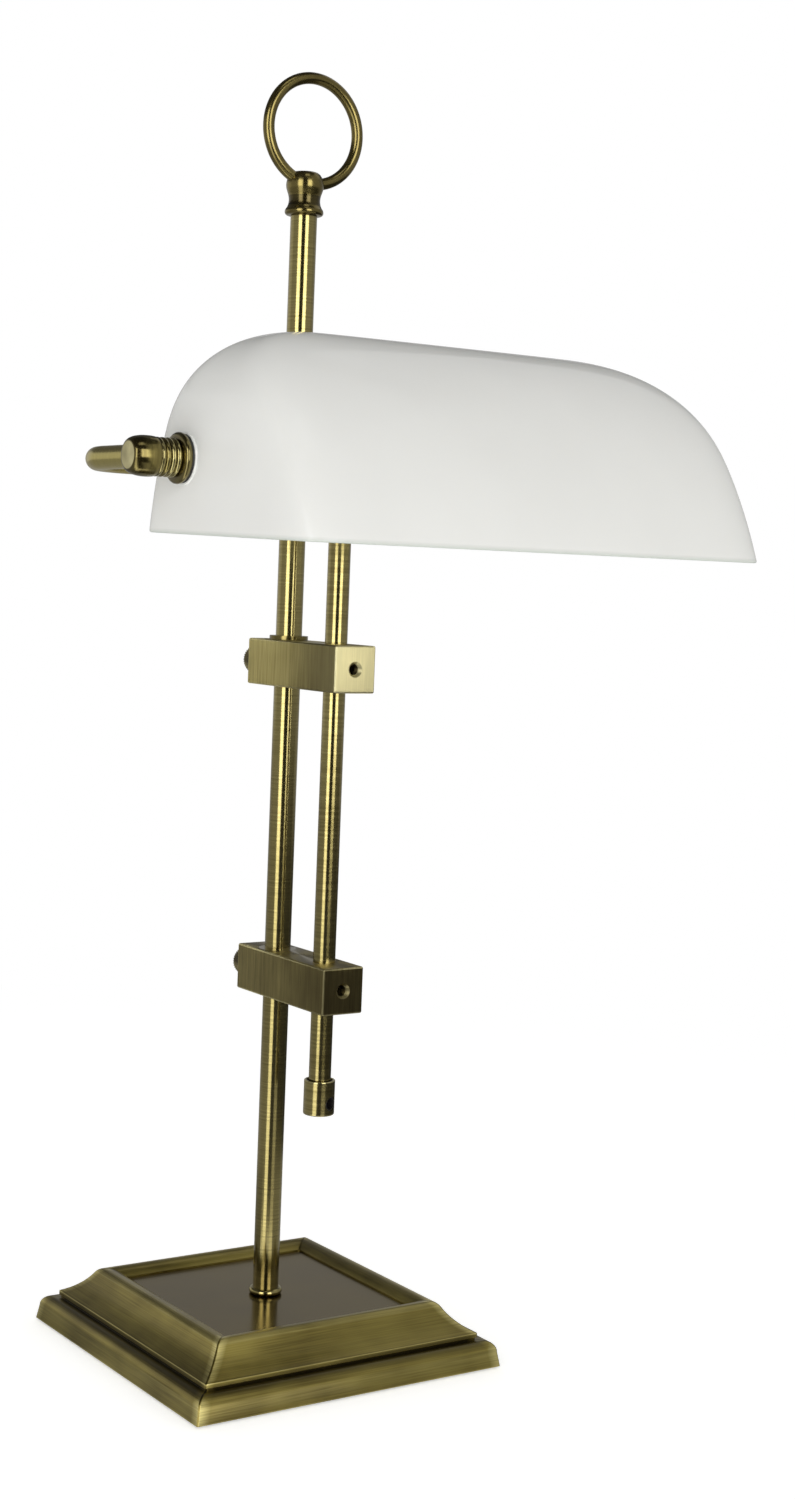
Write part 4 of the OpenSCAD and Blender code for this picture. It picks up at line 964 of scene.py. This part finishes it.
def makeRod():
    low, high = boxOf("slide_rod")
    y = (low.y + high.y) / 2
    outline = tubeOutline(low, high, rod["bore"], rod["edge"])
    dress(turned("slideRod", outline, origin=(0, y, 0), closed=True), "carriage", "brass", brassRoundZ,
          "slide_rod")
    capLow, capHigh = boxOf("rod_end_cap")
    radius, hole = capHigh.x, high.x + rod["capFit"]
    bore, rebate = rod["capBore"] / 2, rod["rebate"] / 2
    rebateZ, gripZ = capHigh.z - rod["rebateDepth"], capHigh.z - rod["capGrip"]
    floorZ = capLow.z + rod["capFloor"]
    capProfile = rounded([
        (0, capLow.z), (radius, capLow.z, rod["capEdge"]), (radius, capHigh.z, rod["capEdge"]),
        (rebate, capHigh.z, rod["rebateEdge"]), (rebate, rebateZ, 0, -0.8), (hole, rebateZ, 0, -1),
        (hole, gripZ), (bore, gripZ), (bore, floorZ), (0, floorZ)])
    cap = turned("rodEndCap", capProfile, origin=(0, y, 0))
    drill = cutter(rod["outlet"] / 2, 0, rod["outletReach"], "Y", side=-1, steps=48)
    turn = Matrix.Rotation(math.radians(rod["outletTurn"]), 4, "Z")
    place = Matrix.Translation(Vector((0, y, capLow.z + rod["outletRise"])) * mm)
    drill.data.transform(place @ turn)
    shape(cap, drill)
    dress(cap, "carriage", "brass", brassRoundZ, "rod_end_cap", sharp=30)


makeRod()
print("rod made")

# Yoke: tee on the rod's head, bent tubes and the fittings at the ends of the glass
yoke = {
    "bend": 26, "teeEdge": 1.2, "socketRim": 1.2, "socketEdge": 0.6, "face": 11.0, "faceEdge": 0.3,
    "dome": 0.46, "domeStain": 0.45, "ringWear": 0.25, "ringStain": -0.8, "ringDepth": 0.35, "nipple": 10.1,
    "flangeEdge": 0.45, "edge": 0.3, "gasketRim": 1.5, "gasketNeck": 7, "washer": 0.7, "washerFit": 0.1,
    "washerWidth": 0.9}


# A point on the axis that the shade tilts on
def shadePivot():
    low, high = boxOf("elbow_right")
    return Vector((0, low.y + (high.z - low.z) / 2, (low.z + high.z) / 2))


def makeTee(y, z):
    low, high = boxOf("yoke_tee")
    half, barrel = high.x, high.z - z
    profile = rounded([
        (0, -half), (barrel, -half, yoke["teeEdge"]), (barrel, half, yoke["teeEdge"]), (0, half)])
    tee = turned("yokeTee", profile, "X", (0, y, z))
    socket = barrel - yoke["socketRim"]
    socketProfile = rounded([(0, low.z - z), (socket, low.z - z, yoke["socketEdge"]), (socket, 0), (0, 0)])
    shape(tee, turned("tool", socketProfile, "Z", (0, y, z)), "UNION")
    dress(tee, "carriage", "brass", brassRoundX, "yoke_tee", sharp=30)


def makeTube(side, word, y, z):
    low, high = boxOf("yoke_tube_right")
    radius, bend = (high.z - low.z) / 2, yoke["bend"]
    armX = high.x - radius
    bendX, bendY = armX - bend, y - bend
    path = [Vector((low.x + (bendX - low.x) * i / 8, y, z)) for i in range(8)]
    path += [Vector((u, v, z)) for u, v, r, w in arc(bendX, bendY, bend, 90, 0, 24)]
    path += [Vector((armX, bendY + (low.y - bendY) * i / 4, z)) for i in range(1, 5)]
    path = [Vector((side * p.x, p.y, p.z)) for p in path]
    dress(sweptBar("yokeTube" + word.title(), path, radius), "carriage", "brass", brassTube,
          "yoke_tube_" + word)


# The elbow is a ball with two rings turned beside it, like those of the collar
def elbowOutline(core, ring):
    low, high = boxOf("elbow_right")
    big, face = (high.z - low.z) / 2, yoke["face"] / 2
    start, end = low.x, high.x
    dome = (end - start) * yoke["dome"]
    neck = start + 4 * ring
    ballFall = end - dome - neck
    ball = []
    for i in range(9):
        angle = math.radians(80 - 10 * i)
        ball.append((big - (big - core - ring) * (1 - math.cos(angle)),
                     neck + ballFall * (1 - math.sin(angle)), 0, -yoke["domeStain"] * math.sin(angle)))
    for i in range(1, 11):
        angle = math.radians(9 * i)
        ball.append((face + (big - face) * math.cos(angle), end - dome + dome * math.sin(angle),
                     0, -yoke["domeStain"] * math.sin(angle)))
    return rounded([
        (0, start), *arc(core, start + ring, ring, -90, 85, 10),
        *arc(core, neck - ring, ring, -85, 85, 10, yoke["ringWear"]),
        *ball, (face - yoke["faceEdge"], end, 0, 0.9), (0, end, 0, 0.9)])


def collarOutline(core, ring):
    low, high = boxOf("pivot_collar_right")
    bore = yoke["nipple"] / 2
    outline = rounded([
        (bore, low.x), *arc(core, low.x + ring, ring, -90, 85, 10),
        *arc(core, high.x - ring, ring, -85, 90, 10), (bore, high.x)])
    deepest = core + ring * yoke["ringDepth"]
    return [(r, h, yoke["ringStain"] if r < deepest else yoke["ringWear"]) for r, h, w in outline]


def flangeOutline(boss):
    low, high = boxOf("pivot_flange_right")
    edge = (high.x - low.x) * yoke["flangeEdge"]
    rim = (high.z - low.z) / 2
    bore = yoke["nipple"] / 2
    return rounded([
        (bore, low.x), (rim - edge / 2, low.x), *arc(rim - edge, low.x + edge, edge, -60, 90, 8, 0.2),
        (boss, high.x, 0, -0.4), (bore, high.x)])


# The gasket's own outline and that of the clear washer round it
def gasketOutlines():
    low, high = boxOf("outer_gasket_right")
    radius, bore, neck = (high.z - low.z) / 2, yoke["nipple"] / 2, yoke["gasketNeck"]
    face = high.x - yoke["gasketRim"]
    gasket = rounded([
        (bore, low.x), (neck, low.x), (neck, face), (radius, face, yoke["edge"]),
        (radius, high.x, yoke["edge"]), (bore, high.x)], closed=True)
    inside, outside, end = radius + yoke["washerFit"], radius + yoke["washerWidth"], face + yoke["washer"]
    washer = rounded([
        (inside, face), (outside, face), (outside, end, yoke["edge"]), (inside, end)], closed=True)
    return gasket, washer


def makeFittings(side, word, z):
    low, high = boxOf("pivot_collar_right")
    ring = (high.x - low.x) / 4
    core = (high.z - low.z) / 2 - ring
    gasket, washer = gasketOutlines()
    pivot = (0, shadePivot().y, z)

    def fitting(name, outline, closed=True):
        return turned(name + word.title(), outline, "X", pivot, side, closed=closed)

    dress(fitting("elbow", elbowOutline(core, ring), closed=False), "carriage", "brass", brassFitting,
          "elbow_" + word)
    dress(fitting("collar", collarOutline(core, ring)), "carriage", "brass", brassFitting,
          "pivot_collar_" + word)
    dress(fitting("flange", flangeOutline(core + ring)), "carriage", "dark_brass", darkShadedRoundX,
          "pivot_flange_" + word)
    dress(fitting("gasket", gasket), "shade", "rubber", rubberBlack, "outer_gasket_" + word)
    dress(fitting("clearWasher", washer), "shade", "rubber", clearPlastic)


def makeYoke():
    low, high = boxOf("yoke_tube_right")
    radius = (high.z - low.z) / 2
    y, z = high.y - radius, high.z - radius
    makeTee(y, z)
    for side, word in ((-1, "left"), (1, "right")):
        makeTube(side, word, y, z)
        makeFittings(side, word, z)


makeYoke()
print("yoke made")

# Opal glass trough; the same few sizes give its outer and its inner surface
glass = {
    "length": 225, "height": 82.3, "wall": 4, "rimDrop": 29.4, "ridgeForward": 7.6, "frontReach": 88,
    "backReach": 47, "frontSink": 83, "backSink": 14, "ridge": 109, "upright": 38.7, "fullness": 2.63,
    "rimSquare": 12, "ridgeSquare": 4.3, "tilt": 1.2, "rimRound": 0.9, "rimSteps": 5, "rimWear": 0.35,
    "rimWearStep": 0.13, "rimClear": 1.5, "topAngle": 89.6, "around": 240, "levels": 64, "hole": 14.3}


def archShare(t, height, sink):
    whole = height + sink
    return math.sqrt(max(0, 1 - ((t * height + sink) / whole) ** 2) / (1 - (sink / whole) ** 2))


# A quarter of a ring, spaced by length and by how much the ring turns, so that the corners stay round
def glassQuarter(half, deep, power, fine=120):
    quarter = []
    for i in range(fine + 1):
        angle = math.pi / 2 * (0.5 - 0.5 * math.cos(math.pi * i / fine))
        quarter.append((math.cos(angle) ** power, math.sin(angle) ** power))
    quarter[0], quarter[-1] = (1.0, 0.0), (0.0, 1.0)
    travel = [0.0]
    for (x0, y0), (x1, y1) in zip(quarter, quarter[1:]):
        length = math.hypot((x1 - x0) * half, (y1 - y0) * deep)
        heading = abs(math.atan2(x1 ** (2 / power), max(y1, 1e-9) ** (2 / power))
                      - math.atan2(x0 ** (2 / power), max(y0, 1e-9) ** (2 / power)))
        travel.append(travel[-1] + length / (half + deep) + heading / math.pi)
    count = glass["around"] // 4
    spots = []
    k = 0
    for i in range(count):
        aim = travel[-1] * i / count
        while travel[k + 1] < aim:
            k += 1
        share = (aim - travel[k]) / max(1e-12, travel[k + 1] - travel[k])
        (x0, y0), (x1, y1) = quarter[k], quarter[k + 1]
        spots.append((x0 + (x1 - x0) * share, y0 + (y1 - y0) * share))
    return spots + [(0.0, 1.0)]


# Points of one level ring
def glassRing(t, inset):
    height = glass["height"] - inset
    upright = glass["upright"] / glass["height"]
    s = max(0, (t - upright) / (1 - upright))
    ridge = glass["ridge"] / 2 - inset
    bulge = max(0, 1 - s ** glass["fullness"]) ** (1 / glass["fullness"])
    half = ridge + (glass["length"] / 2 - inset - ridge) * bulge
    front = (glass["frontReach"] - inset) * archShare(t, height, glass["frontSink"])
    back = (glass["backReach"] - inset) * archShare(t, height, glass["backSink"])
    power = 2 / (glass["rimSquare"] + (glass["ridgeSquare"] - glass["rimSquare"]) * t)
    middle, deep = -glass["ridgeForward"] + (back - front) / 2, (back + front) / 2
    spots = glassQuarter(half, deep, power)
    there, again = spots[:-1], spots[:0:-1]
    ring = there + [(-x, y) for x, y in again] + [(-x, -y) for x, y in there] + [(x, -y) for x, y in again]
    return [(half * x, middle + deep * y, -glass["rimDrop"] + height * t) for x, y in ring]


# Share of the height, inset and wear of each ring, down the outside, round the rim and up the inside
def glassLevels():
    lip, wall, height, steps = glass["rimRound"], glass["wall"], glass["height"], glass["rimSteps"]
    heights = [math.sin(math.radians(glass["topAngle"]) * k / glass["levels"])
               for k in range(1, glass["levels"] + 1)]
    heights = [t for t in heights if t * height > glass["rimClear"] * lip]
    outside, inside = [], []
    for k in range(steps + 1):
        angle = math.pi / 2 * k / steps
        drop, turn = lip * (1 - math.sin(angle)) / height, lip * (1 - math.cos(angle))
        outside.append((drop, turn, glass["rimWear"] + glass["rimWearStep"] * k))
        inside.append((drop, wall - turn, 1.0 - glass["rimWearStep"] * (steps - k)))
    return ([(t, 0.0, 0.0) for t in reversed(heights)] + outside + inside[::-1]
            + [(t, wall, 0.0) for t in heights])


def makeGlass():
    rings = glassLevels()
    count = glass["around"]
    points, wearsAndPaintedLight, faces = [], [], []
    for t, inset, wearAndPaintedLight in rings:
        points += glassRing(t, inset)
        wearsAndPaintedLight += [wearAndPaintedLight] * count
    for k in range(len(rings) - 1):
        faces += ringFaces(k * count, (k + 1) * count, count)
    for start in (0, (len(rings) - 1) * count):
        faces.append((start, start + 1, start + count - 1))
        faces.append((start + count // 2 - 1, start + count // 2, start + count // 2 + 1))
        faces += [(start + i, start + i + 1, start + count - i - 1, start + count - i)
                  for i in range(1, count // 2 - 1)]
    pivot = shadePivot()
    tilt = Matrix.Rotation(math.radians(glass["tilt"]), 3, "X")
    shade = makePiece("glassShade", [pivot + tilt @ Vector(p) for p in points], faces, wearsAndPaintedLight)
    shape(shade, cutter(glass["hole"] / 2, -glass["length"], glass["length"], "X", pivot, steps=64))
    dress(shade, "shade", "opal_glass", shadeGlass, "glass_shade", sharp=60, even=False)


makeGlass()
print("glass made")

# Knurled thumbscrews behind the blocks
thumbscrew = {
    "shank": 5, "tipEdge": 0.4, "head": 9, "edge": 0.3, "bevel": 0.8, "knurls": 36, "knurlDepth": 0.45,
    "dish": 0.5}


def makeThumbscrews():
    shank, bevel, edge = thumbscrew["shank"] / 2, thumbscrew["bevel"], thumbscrew["edge"]
    for word in ("upper", "lower"):
        low, high = boxOf(word + "_thumbscrew")
        z = (low.z + high.z) / 2
        radius = high.x
        front, back = high.y - thumbscrew["head"], high.y
        dishY = back - thumbscrew["dish"]
        profile = rounded([
            (0, low.y), (shank, low.y, thumbscrew["tipEdge"]), (shank, front, 0, -1),
            (radius - 2 * bevel, front, edge), (radius - bevel, front + 0.6 * bevel, 0, 0.3),
            (radius, front + bevel, 0, 0.4), (radius, (front + back) / 2, 0, 0.2),
            (radius, back - bevel, 0, 0.4), (radius - bevel, back - 0.6 * bevel, 0, 0.3),
            (radius - 2 * bevel, back, edge), (radius - 4 * bevel, back, edge),
            (radius - 4.6 * bevel, dishY, 0, -0.4), (0, dishY)])
        flutes = {"from": front + 0.9 * bevel, "to": back - 0.9 * bevel, "count": thumbscrew["knurls"],
                  "depth": thumbscrew["knurlDepth"]}
        screw = turned(word + "Thumbscrew", profile, "Y", (0, 0, z), steps=6 * thumbscrew["knurls"],
                       flutes=flutes)
        dress(screw, word + "_clamp_screw", "dark_brass", darkRoundY, word + "_thumbscrew", sharp=50)


makeThumbscrews()
print("thumbscrews made")

# Lampholder and bulb inside the glass
holder = {
    "neck": 9, "neckLength": 3, "capRim": 4, "capEdge": 0.4, "wall": 2, "rib": 0.5, "ribs": 8,
    "ribPitch": 2.6, "ribWidth": 1.6, "ribStart": 2, "ribEdge": 0.2, "floor": 2, "shell": 7.85,
    "seat": 17, "band": 5, "bandRise": 1, "bandEdge": 0.3, "mouthEdge": 0.5, "contactHole": 1.8}
bulb = {
    "neck": 14, "threadPitch": 2.8, "threadSteps": 6, "threadDepth": 0.45, "rim": 1, "rimEdge": 0.2,
    "tip": 3, "tipInset": 0.6, "tipEdge": 0.3, "contactEdge": 0.4}


def makeHolder(pivot):
    low, high = boxOf("holder_cap")
    radius = (high.z - low.z) / 2
    outer, inner = -low.x, -high.x
    neck, shoulder = holder["neck"], outer - holder["neckLength"]
    domeRun = shoulder - inner - holder["capRim"]
    dome = []
    for i in range(9):
        angle = math.radians(90 - 11.25 * i)
        dome.append((neck + (radius - neck) * math.sin(angle), shoulder - domeRun * (1 - math.cos(angle))))
    edge = holder["capEdge"]
    capProfile = rounded([(0, inner), (radius, inner, edge), *dome, (neck, outer, edge), (0, outer)])
    dress(turned("holderCap", capProfile, "X", pivot, -1), "carriage", "black_resin", phenolicBlack,
          "holder_cap")

    low, high = boxOf("holder_skirt")
    top, mouth = -low.x, -high.x
    wall, skin = radius - holder["wall"], radius - holder["wall"] / 2
    ribs = []
    for k in range(holder["ribs"]):
        h = mouth + holder["ribStart"] + holder["ribPitch"] * k
        for dip, along in ((0, 0), (holder["rib"], holder["ribWidth"] / 2), (0, holder["ribWidth"])):
            ribs.append((skin - dip, h + along, holder["ribEdge"]))
    floor = top - holder["floor"]
    seat, band, contact = floor - holder["seat"], top - holder["band"], holder["contactHole"]
    skirtProfile = rounded([
        (holder["shell"], floor), (holder["shell"], seat), (wall, seat), (wall, mouth, holder["bandEdge"]),
        (skin, mouth, holder["mouthEdge"]), *ribs, (skin, band - holder["bandRise"]),
        (radius, band, holder["bandEdge"]), (radius, top, holder["bandEdge"]),
        (contact, top), (contact, floor),
    ], closed=True)
    dress(turned("holderSkirt", skirtProfile, "X", pivot, -1, closed=True), "carriage", "black_resin",
          phenolicBlack, "holder_skirt")


def makeBulb(pivot):
    low, high = boxOf("bulb_cap")
    thread = (high.z - low.z) / 2
    start, end = -high.x, -low.x
    tip, steps = bulb["tip"], bulb["threadSteps"]
    turns = int((end - start - tip - bulb["rim"]) / bulb["threadPitch"])
    waves = []
    for k in range(turns * steps + 1):
        dip = bulb["threadDepth"] * (0.5 - 0.5 * math.cos(2 * math.pi * k / steps))
        waves.append((thread - dip, start + bulb["rim"] + k * bulb["threadPitch"] / steps))
    capProfile = rounded([
        (0, start), (thread - bulb["rimEdge"], start, bulb["rimEdge"]), *waves,
        (thread - bulb["tipInset"], end - tip), (thread / 2, end - tip / 3, bulb["tipEdge"]),
        (thread / 3, end, bulb["contactEdge"]), (0, end)])
    dress(turned("bulbScrewCap", capProfile, "X", pivot, -1, steps=72), "carriage", "cap_metal", nickelSheet,
          "bulb_cap")

    low, high = boxOf("bulb_glass")
    radius = (high.z - low.z) / 2
    seat, tipX = -low.x, -high.x
    envelope = [(0, seat)]
    for i in range(17):
        share = i / 16
        swell = 0.5 - 0.5 * math.cos(math.pi * share)
        envelope.append((thread + (radius - thread) * swell, seat - bulb["neck"] * share))
    for i in range(1, 24):
        angle = math.radians(90 * i / 24)
        envelope.append((radius * math.cos(angle), tipX + radius - radius * math.sin(angle)))
    envelope.append((0, tipX))
    dress(turned("opalBulb", [(r, h, 0.0) for r, h in envelope], "X", pivot, -1), "carriage", "bulb_glass",
          bulbOpal, "bulb_glass")


def makeLampholder():
    low, high = boxOf("holder_cap")
    pivot = (0, (low.y + high.y) / 2, (low.z + high.z) / 2)
    makeHolder(pivot)
    makeBulb(pivot)


makeLampholder()
print("lampholder made")

# Nodes that keep their own solid, with the finish of the real piece
keptNodes = {
    "base_ballast": castIron, "post_stud": zincSteel, "post_washer": zincSteel, "post_nut": zincSteel,
    "upper_bush": darkRoundZ, "lower_bush": darkRoundZ, "grub_screws": darkRoundY,
    "outlet_bush": phenolicBlack, "pivot_nipple_left": brassRoundX, "pivot_nipple_right": brassRoundX,
    "pivot_washer_left": brassRoundX, "pivot_washer_right": brassRoundX, "lock_nut_right": brassRoundX,
    "holder_shell": nickelSheet, "holder_contact": brassRoundX, "inner_gasket_left": rubberBlack,
    "inner_gasket_right": rubberBlack, "upper_pad": brassRoundX, "lower_pad": brassRoundX,
}
for nodeName, finish in keptNodes.items():
    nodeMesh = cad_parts[nodeName].data
    nodeMesh.materials.clear()
    nodeMesh.materials.append(finish)
print("finishes given to", len(keptNodes), "plain nodes")
